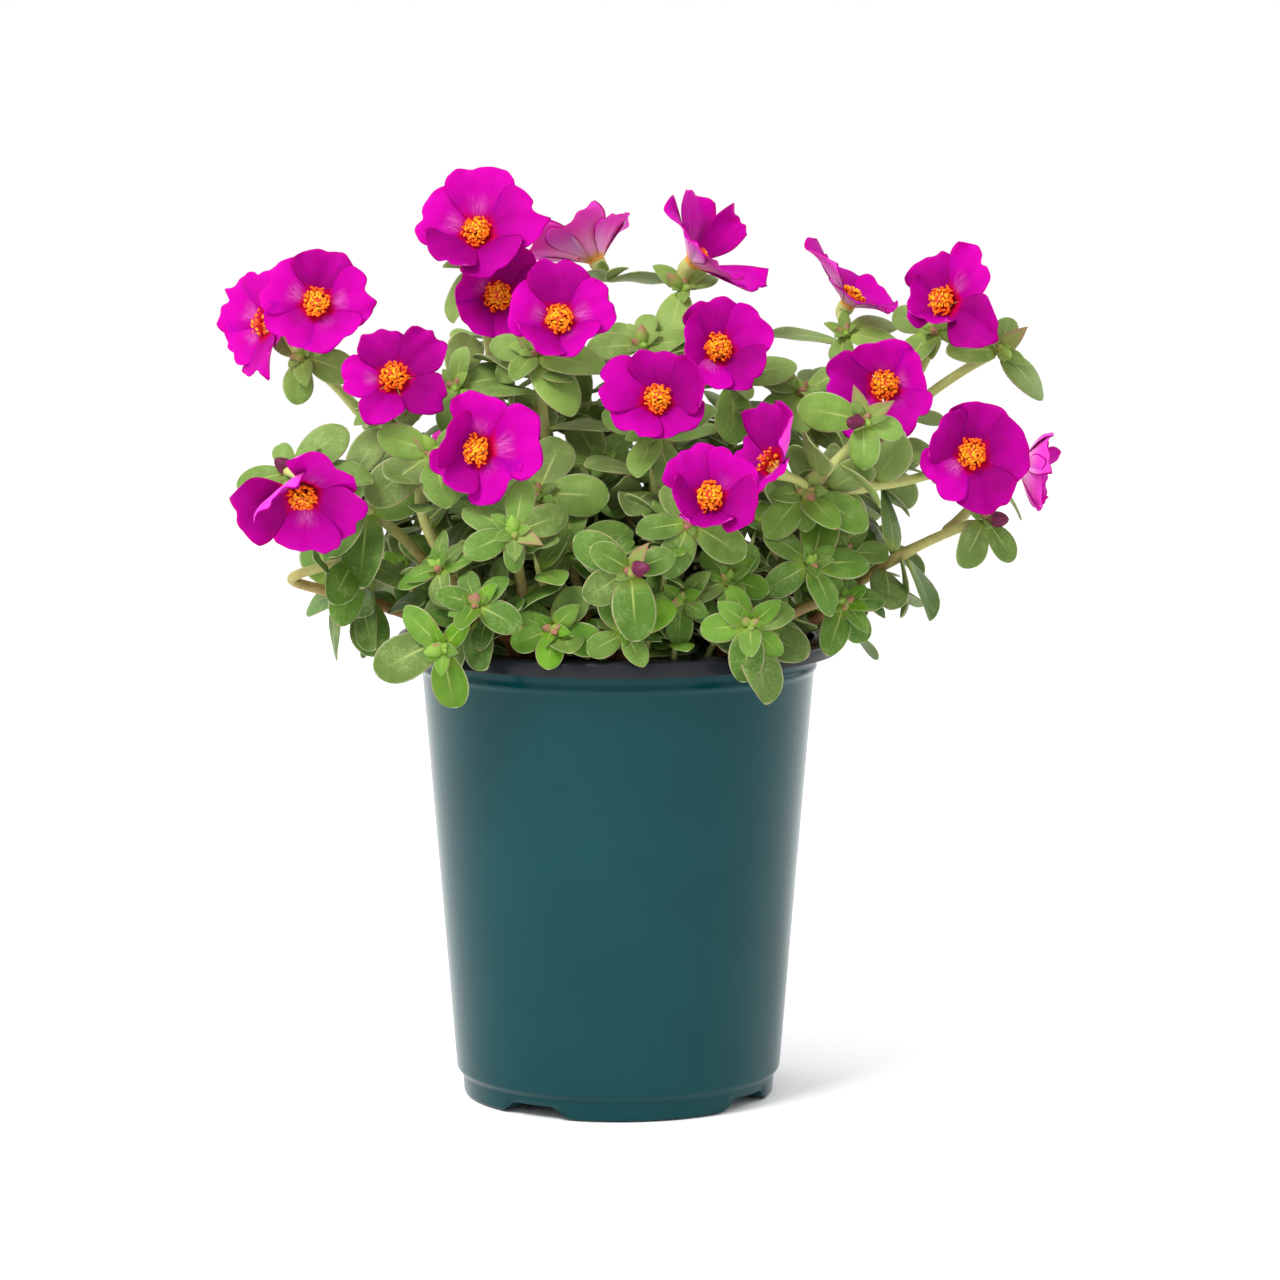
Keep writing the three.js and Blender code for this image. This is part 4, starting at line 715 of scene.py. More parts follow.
# %% The plants in front and on the right
PLANTS += [
    Plant("front", (-4, -54), [
        (-1, 0, (1, -3, 9), (5, -85, 213), (0, -8, 5)),
        (-1, 0, (-4, -5, 8), (-24, -76, 190), (-3, -9, 1)),
        (-1, 0, (4, -6, 8), (3, -80, 189), (-3, -8, 1)),
        (-1, 0, (-2, 3, 10), (-18, -50, 216), (-1, -4, 9)),
    ], [
        Rosette(0, 1, (0, -9, 3), [(300, 23), (282, 19, 64), (254, 19), (176, 25, 84), (70, 16)],
                buds=[(90, 8)], sepals=[(38, 13)]),
        Rosette(1, 1, (-1, -9, 2), [(172, 16), (110, 19), (250, 15), (310, 17), (40, 18)]),
        Rosette(2, 1, (0, -9, 2), [(242, 15), (140, 15), (60, 20), (330, 18)]),
        Rosette(3, 1, (0, -7, 7), [(0, 22), (70, 24), (290, 24), (230, 20), (130, 20)]),
    ]),
    Plant("front_right", (38, -44), [
        (-1, 0, (1, -3, 10), (49, -80, 192), (1, -9, 1), 20),
        (-1, 0, (0, -3, 10), (42, -66, 207), (-1, -8, 4)),
        (-1, 0, (7, -3, 9), (85, -44, 196), (7, -5, -1)),
        (1, 0.4, (-5, -4, 6), (24, -66, 200), (-4, -8, 3)),
    ], [
        Rosette(0, 1, (0, -9, 2), [(187, 20), (165, 15, 60), (72, 16), (265, 17), (318, 15), (120, 16)]),
        Rosette(1, 1, (-1, -8, 5), [(320, 15), (245, 17), (20, 15), (95, 14), (180, 15)]),
        Rosette(2, 1, (3, -8, 3), [(200, 21), (80, 15), (132, 17), (322, 15), (20, 16)]),
        Rosette(2, 0.5, (2, -6, 7), [(250, 20)]),
        Rosette(3, 1, (-2, -9, 2), [(255, 22), (300, 18), (200, 16), (60, 16), (120, 16)]),
    ]),
    Plant("right", (52, -20), [
        (-1, 0, (0, -3, 10), (70, -49, 238), (4, -4, 7)),
        (0, 0.97, (9, 3, 2), (126, -22, 245), (7, -1, 3)),
        (0, 0.97, (6, -1, 8), (92, -50, 265), (2, -4, 8)),
        (0, 0.75, (4, 8, 3), (104, -5, 263), (0, -3, 8)),
        (0, 0.45, (3, -6, 5), (72, -58, 212), (4, -8, 3)),
    ], [
        Rosette(0, 1, (1, -9, 4), [(220, 22), (120, 26), (150, 22, 60), (180, 14), (280, 14)],
                buds=[(150, 6)], sepals=[(42, 14)]),
        Rosette(1, 1, (3, -4, 8), [(290, 20), (255, 18), (60, 18), (140, 18)]),
        Rosette(2, 1, (0, -9, 4), [(180, 18), (282, 24), (110, 14)], buds=[(240, 9)],
                sepals=[(342, 13), (62, 13)]),
        Rosette(3, 1, (1, 2, 8), [(60, 20), (130, 20), (240, 20), (330, 20)]),
        Rosette(4, 1, (3, -8, 4), [(20, 22), (85, 22), (160, 20), (240, 20), (310, 20)]),
        Rosette(1, 0.4, (0, -4, 8), [(30, 24)]),
    ]),
    Plant("right_low", (58, 2), [
        (-1, 0, (7, -2, 8), (139, -22, 225), (9, -1, 3)),
        (0, 0.82, (7, 6, 3), (146, 0, 236), (7, 2, 4)),
        (0, 0.3, (5, 6, 5), (98, 18, 214), (7, 4, 5)),
        (0, 0.3, (3, -3, 8), (86, -22, 212), (3, -5, 7)),
    ], [
        Rosette(0, 1, (4, -7, 3), [(212, 22), (160, 18), (320, 14)], buds=[(100, 8)]),
        Rosette(0, 0.66, (9, 0, 3), [(180, 24, 95)]),
        Rosette(1, 1, (5, 3, 7), [(20, 18), (100, 16), (200, 18), (300, 18)]),
        Rosette(2, 1, (6, 2, 7), [(0, 22), (85, 22), (175, 24), (265, 22)]),
        Rosette(3, 1, (2, -8, 5), [(320, 20), (20, 18), (90, 16), (200, 18), (260, 18)]),
    ]),
]
print("plants so far:", len(PLANTS))

# %% The plants at the back
PLANTS += [
    Plant("right_back", (44, 20), [
        (-1, 0, (2, 2, 10), (88, 36, 291), (1, -1, 9)),
        (0, 0.6, (2, -6, 5), (71, 4, 271), (0, -4, 8)),
        (-1, 0, (5, 1, 9), (147, 18, 286), (8, -1, 4)),
        (2, 0.68, (1, 3, 8), (121, 24, 293), (-1, -2, 9)),
        (2, 0.35, (5, 5, 5), (100, 46, 240), (6, 5, 5)),
    ], [
        Rosette(0, 0.97, (-1, 0, 9), [(268, 31, 66)]),
        Rosette(0, 1, (0, -7, 6), [(108, 22), (75, 24), (190, 14)]),
        Rosette(0, 0.55, (2, 2, 8), [(80, 24)]),
        Rosette(1, 1, (0, -7, 6), [(300, 22), (60, 22), (262, 20), (110, 20), (180, 18)]),
        Rosette(2, 1, (3, -7, 4), [(140, 24), (262, 22), (20, 14)], buds=[(170, 7)], sepals=[(50, 13)]),
        Rosette(3, 1, (-1, -7, 6), [(208, 20), (108, 24), (40, 18), (300, 16)]),
        Rosette(4, 1, (5, 6, 6), [(0, 24), (85, 24), (175, 24), (265, 24)]),
    ]),
    Plant("back_centre", (8, 24), [
        (-1, 0, (-1, 1, 10), (-6, 42, 311), (-1, 0, 9)),
        (-1, 0, (1, 1, 10), (25, 29, 309), (0, 0, 10)),
        (-1, 0, (3, -2, 10), (44, 4, 276), (1, -3, 9)),
        (0, 0.5, (-3, 6, 6), (-14, 56, 258), (-2, 7, 7)),
    ], [
        Rosette(0, 1, (0, 2, 8), [(80, 24), (200, 18), (300, 18)]),
        Rosette(1, 1, (0, -7, 6), [(195, 22, 100), (60, 14), (30, 14)], buds=[(290, 8)]),
        Rosette(1, 0.6, (1, 2, 8), [(80, 22)]),
        Rosette(2, 1, (0, -7, 6), [(180, 26, 88), (85, 24), (285, 18), (130, 20)]),
        Rosette(3, 1, (0, 8, 5), [(10, 24), (95, 24), (185, 24), (275, 24)]),
    ]),
    Plant("back_left", (-34, 36), [
        (-1, 0, (-3, 4, 9), (-58, 66, 226), (-3, 6, 6)),
        (-1, 0, (2, 5, 9), (-14, 84, 196), (0, 8, 4)),
        (-1, 0, (-8, 3, 7), (-82, 42, 204), (-7, 5, 4)),
        (0, 0.5, (-5, -1, 6), (-76, 40, 240), (-5, 3, 7)),
        (-1, 0, (-2, 7, 6), (-42, 80, 192), (-3, 8, 1)),
    ], [
        Rosette(0, 1, (-3, 8, 5), [(20, 22), (105, 22), (190, 24), (270, 24)], buds=[(330, 7)]),
        Rosette(1, 1, (0, 8, 4), [(40, 22), (120, 24), (200, 24), (300, 22)]),
        Rosette(2, 1, (-7, 5, 5), [(0, 24), (80, 24), (160, 24), (250, 24)]),
        Rosette(3, 1, (-4, 4, 8), [(0, 24), (85, 26), (175, 24), (265, 26)]),
        Rosette(4, 1, (-3, 9, 2), [(180, 22), (100, 20), (260, 20), (350, 18)]),
    ]),
    Plant("back_right", (20, 46), [
        (-1, 0, (2, 4, 9), (34, 80, 217), (1, 8, 5)),
        (-1, 0, (6, 2, 8), (66, 52, 206), (6, 6, 5)),
        (-1, 0, (-1, 7, 6), (8, 86, 190), (-1, 9, 1)),
        (1, 0.5, (5, 3, 6), (74, 30, 222), (6, 2, 6)),
        (0, 0.5, (3, 3, 7), (44, 60, 240), (3, 5, 8)),
    ], [
        Rosette(0, 1, (1, 8, 5), [(10, 22), (95, 22), (180, 24), (270, 24)]),
        Rosette(1, 1, (6, 6, 4), [(30, 22), (110, 24), (200, 24), (290, 22)]),
        Rosette(2, 1, (0, 9, 2), [(180, 22), (100, 20), (260, 20), (10, 18)]),
        Rosette(3, 1, (7, 2, 6), [(0, 24), (85, 22), (175, 24), (265, 24)]),
        Rosette(4, 1, (2, 6, 7), [(0, 24), (85, 26), (175, 24), (265, 24)], buds=[(40, 7)]),
    ]),
]
print("plants:", len(PLANTS), "rosettes:", sum(len(plant.rosettes) for plant in PLANTS))

# %% The open flowers
# A bloom is its plant, the stem whose end bears it, the middle of its cup, the direction it faces, the
# clock angle of its first petal, its petals' length, their angle to the flower's plane at the root and
# at the end, and half a petal's width as a share of its length where that isn't HALF_WIDTH.
HALF_WIDTH = 0.59
BLOOMS = [
    ("left", 0, (-137, 12, 297), (-7, -6, 2), 20, 18.5, 35, 5),
    ("left", 0, (-114, -18, 307), (0, -9, 3), 10, 19.5, 32, -6),
    ("front_left", 1, (-84, -42, 281), (0, -8, 5), -20, 18.5, 34, 0, 0.5),
    ("left", 1, (-116, -80, 240), (-1, -8, -5), 36, 21.5, 40, 5),
    ("centre_left", 1, (-54, 0, 333), (-1, -8, 5), 5, 20.5, 36, -4),
    ("centre_left", 2, (-46, 2, 308), (1, -9, 2), 15, 18.5, 36, 0),
    ("centre_left", 0, (-22, -34, 302), (0, -9, 4), 0, 18, 36, -4),
    ("back_centre", 0, (-10, 46, 322), (-4, 3, 8), 30, 19.5, 54, 8),
    ("back_centre", 1, (31, 26, 321.5), (7, -3, 6), 5, 20.5, 50, 14, 0.46),
    ("back_centre", 2, (38, -18, 290), (0, -9, 4), -10, 18.5, 36, 0),
    ("centre", 0, (15, -46, 273), (0, -8, 5), 0, 18.5, 36, 0),
    ("front_left", 0, (-52, -70, 256), (-3, -9, 2), 12, 18.5, 36, -4),
    ("centre", 2, (34, -92, 241), (-1, -8, 4), 40, 17.5, 38, 0),
    ("right", 0, (56, -62, 251), (-6, -5, 6), 0, 16, 46, 8),
    ("right_back", 0, (91, 42, 305), (5, -1.5, 8), 20, 18.5, 50, 2),
    ("right_back", 3, (124, 6, 306), (-5, -8, 4), 55, 17.5, 38, 0),
    ("right", 3, (101, -20, 276), (-1, -9, 3), 0, 18, 36, 0),
    ("right", 1, (133, -42, 252), (0, -9, 2), 15, 19, 32, -6),
    ("right_low", 1, (158, 2, 242), (8, -1, -1), 10, 18, 40, 5),
    ("back_left", 0, (-60, 80, 236), (-3, 8, 4), 10, 18.5, 36, 0),
    ("back_left", 1, (-13, 100, 204), (0, 9, 3), 30, 18.5, 36, -2),
    ("back_right", 0, (36, 96, 226), (1, 8, 4), 0, 18.5, 36, 0),
]
print("flowers:", len(BLOOMS))

# %% The ways in which a leaf may be bent
# A leaf that would touch another plant is bent: changes of its angle to the axis and of its clock
# angle, in degrees, and of its length. The first change that keeps it clear was taken.
BENDS = [
    (0, 0, 1), (12, 0, 1), (-12, 0, 1), (0, 16, 1), (0, -16, 1), (20, 12, 0.95), (20, -12, 0.95),
    (-20, 12, 0.95), (-20, -12, 0.95), (0, 32, 0.9), (0, -32, 0.9), (30, 0, 0.9), (-30, 0, 0.9),
    (24, 30, 0.8), (24, -30, 0.8), (-24, 30, 0.8), (-24, -30, 0.8), (0, 0, 0.75), (0, 48, 0.8),
    (0, -48, 0.8), (34, 0, 0.7), (-36, 0, 0.7), (0, 0, 0.6), (20, 20, 0.6), (-20, -20, 0.6),
]
print("bends:", len(BENDS))

# %% [markdown]
# ## Room for leaves
# The solids leave room between the plants, and the extra leaves that make the plant dense must keep
# it: a leaf that cuts through a petal looks wrong from close by. Testing every leaf against every
# other is slow. A grid of cells that remembers who fills it answers the same question at once.

# %% A grid of filled cells
CELL, SPARE = 1.5, 20  # a cell's size and the room left round the solids, in millimetres
AROUND = np.indices((3, 3, 3)).reshape(3, -1).T - 1  # the steps to a cell's neighbours
POT_OWNER, BLOOM_OWNER, FIRST_PLANT, SHOOT_OWNER = 1, 2, 11, 40
low_corner = np.array(cad_box[0]) / MM - SPARE
high_corner = np.array(cad_box[1]) / MM + SPARE
filled_by = np.zeros(np.ceil((high_corner - low_corner) / CELL).astype(int) + 3, np.int16)


def cells_of(points):
    """The cell of each point: its distance from the low corner over the cell's size, cut to a whole."""
    found = ((points.reshape(-1, 3) - low_corner) / CELL).astype(int)
    return np.clip(found, 1, np.array(filled_by.shape) - 2)


def claim(points, owner, margin=1):
    """Fills the cells of the points and, with a margin, the cells next to them that are still empty."""
    cells = cells_of(points)
    near = (cells[:, None] + margin * AROUND).reshape(-1, 3)
    empty = filled_by[tuple(near.T)] == 0
    filled_by[tuple(near[empty].T)] = owner
    filled_by[tuple(cells.T)] = owner


def is_free(points, owners=(0,)):
    """Whether every point's cell is empty or filled by one of the given owners."""
    return bool(np.isin(filled_by[tuple(cells_of(points).T)], owners).all())


print("cells:", filled_by.shape)

# %% The cells of the pot's brim and of the mix
LOWEST = 160  # nothing grows below this height

wall, _ = filled(line, black, 1.4)
wall = wall[wall[:, 1] > LOWEST]
claim(turned(wall[:, :1], wall[:, 1:], np.radians(np.arange(-90, 270, 0.8))), POT_OWNER)
flat = np.arange(-MIX_RADIUS - 1, MIX_RADIUS + 1, 1.2)
x, y = np.meshgrid(flat, flat)
for height in range(LOWEST, MIX_TOP + 1, 2):
    claim(np.stack([x, y, height + 0 * x], -1)[x**2 + y**2 < (MIX_RADIUS + 1) ** 2], POT_OWNER)
print("cells filled by the pot and the mix:", int((filled_by > 0).sum()))

# %% [markdown]
# ## Petals
# Five petals overlap like the blades of a fan, each with its left side over the next one's right
# side. A petal rises from the throat, opens flat and ends in two soft lobes with a shallow cleft.
# Cloth simulation could crumple it, but sine ripples that grow towards the edge give the same soft
# look. The petals keep the place and the draws of the solids that they stand for, and each one is
# stretched or cupped a little, because no two petals of a real flower reach equally far.

# %% One petal as a function of two parameters
ROWS, COLUMNS = 22, 21


def petal(length, half_width, root_angle, end_angle, notch, phase, curl=0.0, crinkle=1.0, point=0.0):
    """The middle surface of a petal over s, from root to end, and t, from side to side.

    The midline is an arc whose slope turns evenly from the root's angle to the end's. Half its
    width is sin(90 degrees * s / 0.7) to the power 1.25, less a little past 0.7. The outline draws
    back by the square and fourth power of t, by a bell at the lean for the cleft, and by sine waves
    of t, and a point juts out beside the cleft. The sides rise by the square of t, one more than the
    other, and sine waves of t ripple the outer half. A curl turns the outer part back by the cube of s.
    """
    s = np.linspace(0, 1, ROWS)[:, None]
    t = np.linspace(-1, 1, COLUMNS)[None]
    turn = end_angle - root_angle
    now = root_angle + turn * s
    lean = 0.3 * np.sin(1.7 * phase)
    out = length / turn * (np.sin(now) - np.sin(root_angle)) + 0 * t
    up = length / turn * (np.cos(root_angle) - np.cos(now)) + 0 * t
    breadth = np.sin(np.pi / 2 * np.minimum(1, s / 0.7)) ** 1.25 - 1.3 * np.maximum(0, s - 0.7) ** 2
    side = (half_width * breadth + 1.7 * (1 - s) ** 3) * t
    cleft = notch * bell((t - lean) / 0.2) * s**6
    out -= length * (0.1 * s**2 * t**2 + 0.15 * s**4 * t**4 + cleft)
    out -= length * (0.045 * s**4 * np.sin(2.4 * t + phase) + 0.009 * s**8 * np.sin(9 * t + 3 * phase))
    out += length * point * bell((t + 1.6 * lean) / 0.16) * s**7
    up += length * (0.1 * s * t**2 + 0.05 * s * t + 0.035 * s**2 * np.sin(4 * t + phase))
    fine = 0.02 * s**3 * np.sin(8 * t + 2.3 * phase) + 0.016 * s**6 * np.sin(11 * t - 1.7 * phase)
    fold = -0.035 * bell((t - 0.5 * lean) / 0.2) * np.sin(np.pi * s) ** 2
    up += length * (crinkle * fine + fold - curl * s**3)
    out -= length * abs(curl) * 0.35 * s**3
    return np.stack([3.0 + out - 0.8 * (1 - s), side, 1.3 + up], -1), s + 0 * t, (t + 1) / 2 + 0 * s


sample = petal(20, 12, 0.6, 0.05, 0.07, 1)[0].reshape(-1, 3)
print("length, width and rise of a petal:", np.ptp(sample, axis=0).round(1))

# %% How far each petal reaches: over 1 it is longer, under 1 it is shorter and cupped
REACH = [  # a flower in each row, its petals counter-clockwise from the first
    (1.08, 1.15, 0.85, 1.2, 1.0), (0.98, 1.05, 0.97, 0.84, 1.05), (0.95, 1.05, 1.15, 1.15, 1.1),
    (1.25, 0.6, 1.12, 1.1, 1.06), (1.28, 1.03, 0.78, 0.92, 1.16), (1.05, 0.75, 0.8, 0.8, 1.0),
    (1.22, 0.97, 0.72, 0.72, 1.18), (1.05, 1.0, 1.45, 1.4, 1.2), (1.35, 1.4, 1.25, 1.3, 1.2),
    (0.94, 0.55, 0.92, 1.02, 1.06), (0.92, 1.2, 1.0, 0.9, 0.92), (1.12, 0.45, 0.7, 0.98, 1.5),
    (1.05, 1.12, 0.45, 0.55, 0.9), (1.45, 1.0, 0.9, 1.1, 1.4), (1.0, 1.35, 1.0, 0.9, 0.85),
    (1.4, 0.85, 0.45, 0.35, 1.8), (0.85, 1.1, 1.25, 1.15, 0.75), (0.9, 0.62, 0.85, 1.06, 1.08),
    (0.6, 0.6, 0.5, 0.8, 1.4), (1, 1.1, 1, 0.9, 1), (1, 0.9, 1.1, 1, 1), (0.9, 1, 1, 1.1, 1),
]
SPECIAL = {  # flower: {petal: changes of its numbers}
    0: {0: {"point": 0.12}, 1: {"point": 0.22}, 3: {"point": 0.15}},
    1: {0: {"crinkle": 1.6}, 4: {"point": 0.12}},
    2: {
        0: {"crinkle": 2.0, "wide": 0.95}, 1: {"wide": 0.9}, 2: {"wide": 0.88},
        3: {"curl": 0.12, "wide": 0.95}, 4: {"crinkle": 2.0, "wide": 0.95},
    },
    3: {1: {"curl": -0.3}, 2: {"turn": -15}},
    4: {4: {"point": 0.14}},
    7: {2: {"wide": 1.25, "turn": 8}, 3: {"wide": 1.25, "turn": 14}},
    8: {
        0: {"wide": 1.4, "turn": 10}, 1: {"curl": 0.1, "wide": 1.6, "turn": 14}, 2: {"wide": 1.25},
        3: {"wide": 1.3}, 4: {"curl": -0.2, "wide": 0.72, "turn": 24, "crinkle": 0.4},
    },
    10: {4: {"curl": -0.3}},
    11: {1: {"curl": -0.45}, 3: {"turn": 12, "wide": 1.15}, 4: {"turn": -2, "wide": 1.25}},
    13: {4: {"curl": -0.3}, 0: {"crinkle": 1.8}},
    14: {1: {"point": 0.15, "wide": 1.7, "turn": 6}, 0: {"wide": 1.2}},
    16: {1: {"turn": 16, "wide": 1.15}, 2: {"turn": -8}},
}
print("petals with a shape of their own:", sum(len(petals) for petals in SPECIAL.values()))

# %% The petals of every flower
PETALS, THROAT_DEPTH = 5, 5  # in a flower, and from the middle of its cup down to the throat in mm
WIDER = 1.08  # a real petal is wider than the solid's, which has straight sides
CUPPING = np.radians(100)  # how much further a petal would close if it reached nowhere

flowers = []
for index, (owner, stem, centre, face, clock, size, root_deg, end_deg, *wide) in enumerate(BLOOMS):
    draw = draws(101 + index)
    rows = facing(face)
    origin = np.array(centre, float) - THROAT_DEPTH * rows[2]
    flower = Growth()
    share = wide[0] if wide else HALF_WIDTH
    for k in range(PETALS):
        length = size * (0.94 + 0.12 * draw())
        half = size * share * (0.94 + 0.12 * draw()) * WIDER
        root_angle = np.radians(root_deg + 4 * (draw() - 0.5))
        end_angle = np.radians(end_deg + 12 * (draw() - 0.5))
        notch = 0.1 * (0.3 + draw())
        phase = 2 * np.pi * draw()
        spin = np.radians(90 - clock + 360 / PETALS * k + 4 * (draw() - 0.5))
        change = dict(SPECIAL.get(index, {}).get(k, {}))
        half *= change.pop("wide", 1)
        spin += np.radians(change.pop("turn", 0))
        reach = REACH[index][k]
        length *= reach if reach > 1 else 1 - 0.5 * (1 - reach)
        end_angle += CUPPING * max(0, 1 - reach)
        surface, s, across = petal(length, half, root_angle, end_angle, notch, phase, **change)
        about = np.array([[np.cos(spin), np.sin(spin), 0], [-np.sin(spin), np.cos(spin), 0], [0, 0, 1]])
        placed = origin + surface @ about @ rows
        tint = 0.5 + 0.5 * np.sin(phase)
        front, back = number(s.shape, s, across, 1, tint), number(s.shape, s, across, 0, tint)
        flower.sheet(placed, 0.5, front, back)
        claim(placed, BLOOM_OWNER)
    cup = np.array([(0, 0.5), (2.4, 0.5), (3.3, 1.1), (3.2, 1.8), (2.3, 2.3), (1, 2.5), (0, 2.5)])
    base = turned(cup[:, :1], cup[:, 1:], circle(20))
    flower.rings(origin + base @ rows, number(base.shape[:2], 0.02, 0.5, 0, 0.5))
    flowers.append((f"{index + 1:02d}", flower, origin, rows))
print("petal points:", sum(flower.count for _, flower, _, _ in flowers))

# %% [markdown]
# ## Petal finish
# The petals are a deep, clean magenta that lightens a little towards the edge, silky and hardly
# glossy. A red halo lies around the stamens. Pale streaks near the base of some faces are partly the
# petal's own marking and partly a painted sheen. The backs are painted a brighter pink than the faces,
# a painted light that stands for light shining through the thin petal, and fade to pink and white
# streaks towards the base. Paint by hand would need an image. The numbers along and across each petal
# give the same bands.

# %% Petal material
silky = {"Specular_IOR_Level": 0.03, "Subsurface_Weight": 0.35, "Subsurface_Scale": 0.0015}
magenta = Finish("petal_magenta", **silky)
along, across, upper, tint = magenta.skin()
veins = magenta.noise(5, 3, at=magenta.spot(across * 22, along * 1.2, tint * 40))
cloud = magenta.noise(110, 2)
light = veins * 0.35 + cloud * 0.3 + tint * 0.3 + along * 0.35
warm = magenta.mix(hue("820066"), hue("b9009b"), light.between(0.4, 0.98))
# pale streaks near the base of some faces: partly the petal's own marking and partly a painted sheen
pale_streak_and_painted_sheen = (1 - abs(across * 2 - 1)).between(0.45, 1.0) * (1 - along.between(0.3, 0.6))
pale_streak_and_painted_sheen = pale_streak_and_painted_sheen * veins.between(0.42, 0.6) * tint.between(0.74, 1.0)
warm = magenta.mix(warm, hue("ee9fdc"), pale_streak_and_painted_sheen * 0.36)
halo = magenta.mix(hue("900020"), hue("b8003a"), along.between(0.05, 0.2))
face_side = magenta.mix(halo, warm, (along + 0.1 * veins).between(0.2, 0.36))
streak = (1 - along.between(0.05, 0.85)) * (0.45 + veins).between(0.55, 1.05)
# painted light: the back is mixed towards a brighter pink, as light shining through the petal; the pale
# streaks are the petal's own
back_streaks_and_painted_glow = magenta.mix(magenta.mix(warm, hue("ee4fd2"), 0.7), hue("f7c3ea"), streak * 0.8)
back_streaks_and_painted_glow = magenta.mix(hue("dfa352"), back_streaks_and_painted_glow, along.between(0.04, 0.22))
both_sides = magenta.mix(back_streaks_and_painted_glow, face_side, upper.between(0.4, 0.6))
magenta.vary(Base_Color=both_sides, Roughness=0.5 + 0.25 * veins)
magenta.bump(veins * 0.8 + cloud * 0.3, 0.3, 0.0006)
for label, flower, *_ in flowers:
    flower.build(f"petals_{label}_fine", [magenta.material], "petal_magenta", f"petals_{label}")
print("nodes of the petals' finish:", len(magenta.tree.nodes))

# %% [markdown]
# ## Stamens
# About a hundred stamens crowd the throat: thin red-orange filaments, each with an orange bean of
# pollen, and in the middle a style whose pale lobes spread like a star. The solids stand for the
# whole bunch. Single filaments are placed on a sunflower spiral, which spreads points evenly. Some
# flowers that are past their best have few stamens left, and there the star shows.

# %% A thread and a bean of pollen


def thread(growth, origin, rows, curve, width, sides, numbers):
    """A round thread along a curve: each ring is a point plus width * (cos a * side + sin a * other)."""
    points, tangents = walk(curve, np.linspace(0, 1, len(width)))
    side = unit(np.cross(curve[3] - curve[0], [0.3, 0.1, 1]))
    other = np.cross(tangents, side)
    a = circle(sides)[:, None]
    ring = np.cos(a) * side + np.sin(a) * other[:, None]
    rings = points[:, None] + width[:, None, None] * ring
    growth.rings(origin + rings @ rows, number(rings.shape[:2], *numbers))


def bean(middle, long_side):
    """A bean: 0.92 cos u along its long side, 0.52 sin u cos v and 0.48 sin u sin v across it."""
    flat_side = unit(np.cross(long_side, [0.1, 0.2, 1]))
    rise = np.linspace(0, np.pi, 5)[:, None]
    ring = circle(7)
    return (
        middle
        + np.cos(rise)[..., None] * -0.92 * long_side
        + (0.52 * np.sin(rise) * np.cos(ring))[..., None] * flat_side
        + (0.48 * np.sin(rise) * np.sin(ring))[..., None] * np.cross(long_side, flat_side)
    )


print("points of a bean:", bean(np.zeros(3), np.array([1.0, 0, 0])).shape)

# %% Filaments, anthers and the style of every flower
FILAMENTS, FEW, LOBES = 98, 14, 6
PAST = {0, 8, 13}  # flowers with few stamens
GOLDEN, BUNCH_RADIUS, THROAT_TOP = 2.39996, 6.3, 2.1  # the golden angle in radians, and millimetres
STYLE_WIDTHS = np.array([0.34, 0.34, 0.34, 0.32, 0.36, 0.42, 0.36, 0.1])

bunches = []
for index, (label, _, origin, rows) in enumerate(flowers):
    draw = draws(701 + index)
    bunch = Growth()
    count = FEW if index in PAST else FILAMENTS
    lean, oval = 2 * np.pi * draw(), 0.1 + 0.14 * draw()
    for k in range(count):
        spin = GOLDEN * k + 0.5 * draw()
        reach = BUNCH_RADIUS * np.sqrt((k + 0.5) / count) * (0.84 + 0.2 * draw())
        reach *= 1 - oval * np.cos(spin - lean) ** 2
        top = 7.5 - 2.4 * (reach / 6.4) ** 2 + 2.2 * (draw() - 0.5)
        spoke = np.array([np.cos(spin), np.sin(spin), 0])
        foot = spoke * min(1.6, reach * 0.4) + [0, 0, THROAT_TOP]
        head = spoke * reach + [0, 0, top]
        curve = bow(foot, [0.2 * spoke[0], 0.2 * spoke[1], 1], head, [spoke[0], spoke[1], 0.8])
        ripeness = np.linspace(0, 0.5, 5)[:, None]
        thread(bunch, origin, rows, curve, np.full(5, 0.22), 4, (ripeness, 0, 0, draw()))
        side = np.array([-spoke[1], spoke[0], 0])
        long_side = unit(side + spoke * (draw() - 0.5) * 3 + [0, 0, 1.6 * (draw() - 0.5)])
        anther = bean(head, long_side)
        numbers = number(anther.shape[:2], 1, 0.5 + 0.5 * (reach / 6.4), 0, draw())
        bunch.rings(origin + anther @ rows, numbers)
    for k in range(LOBES):
        spin = 2 * np.pi * (k + 0.3) / LOBES
        spoke = np.array([np.cos(spin), np.sin(spin), 0])
        tip = spoke * 2.9 + [0, 0, 8.4]
        curve = bow([0, 0, THROAT_TOP], [0, 0, 1], tip, [spoke[0], spoke[1], -0.1], 3.2)
        thread(bunch, origin, rows, curve, STYLE_WIDTHS, 6, (0.2, 0, 1, 0.5))
    bunches.append((label, bunch))
print("stamen points:", sum(bunch.count for _, bunch in bunches))

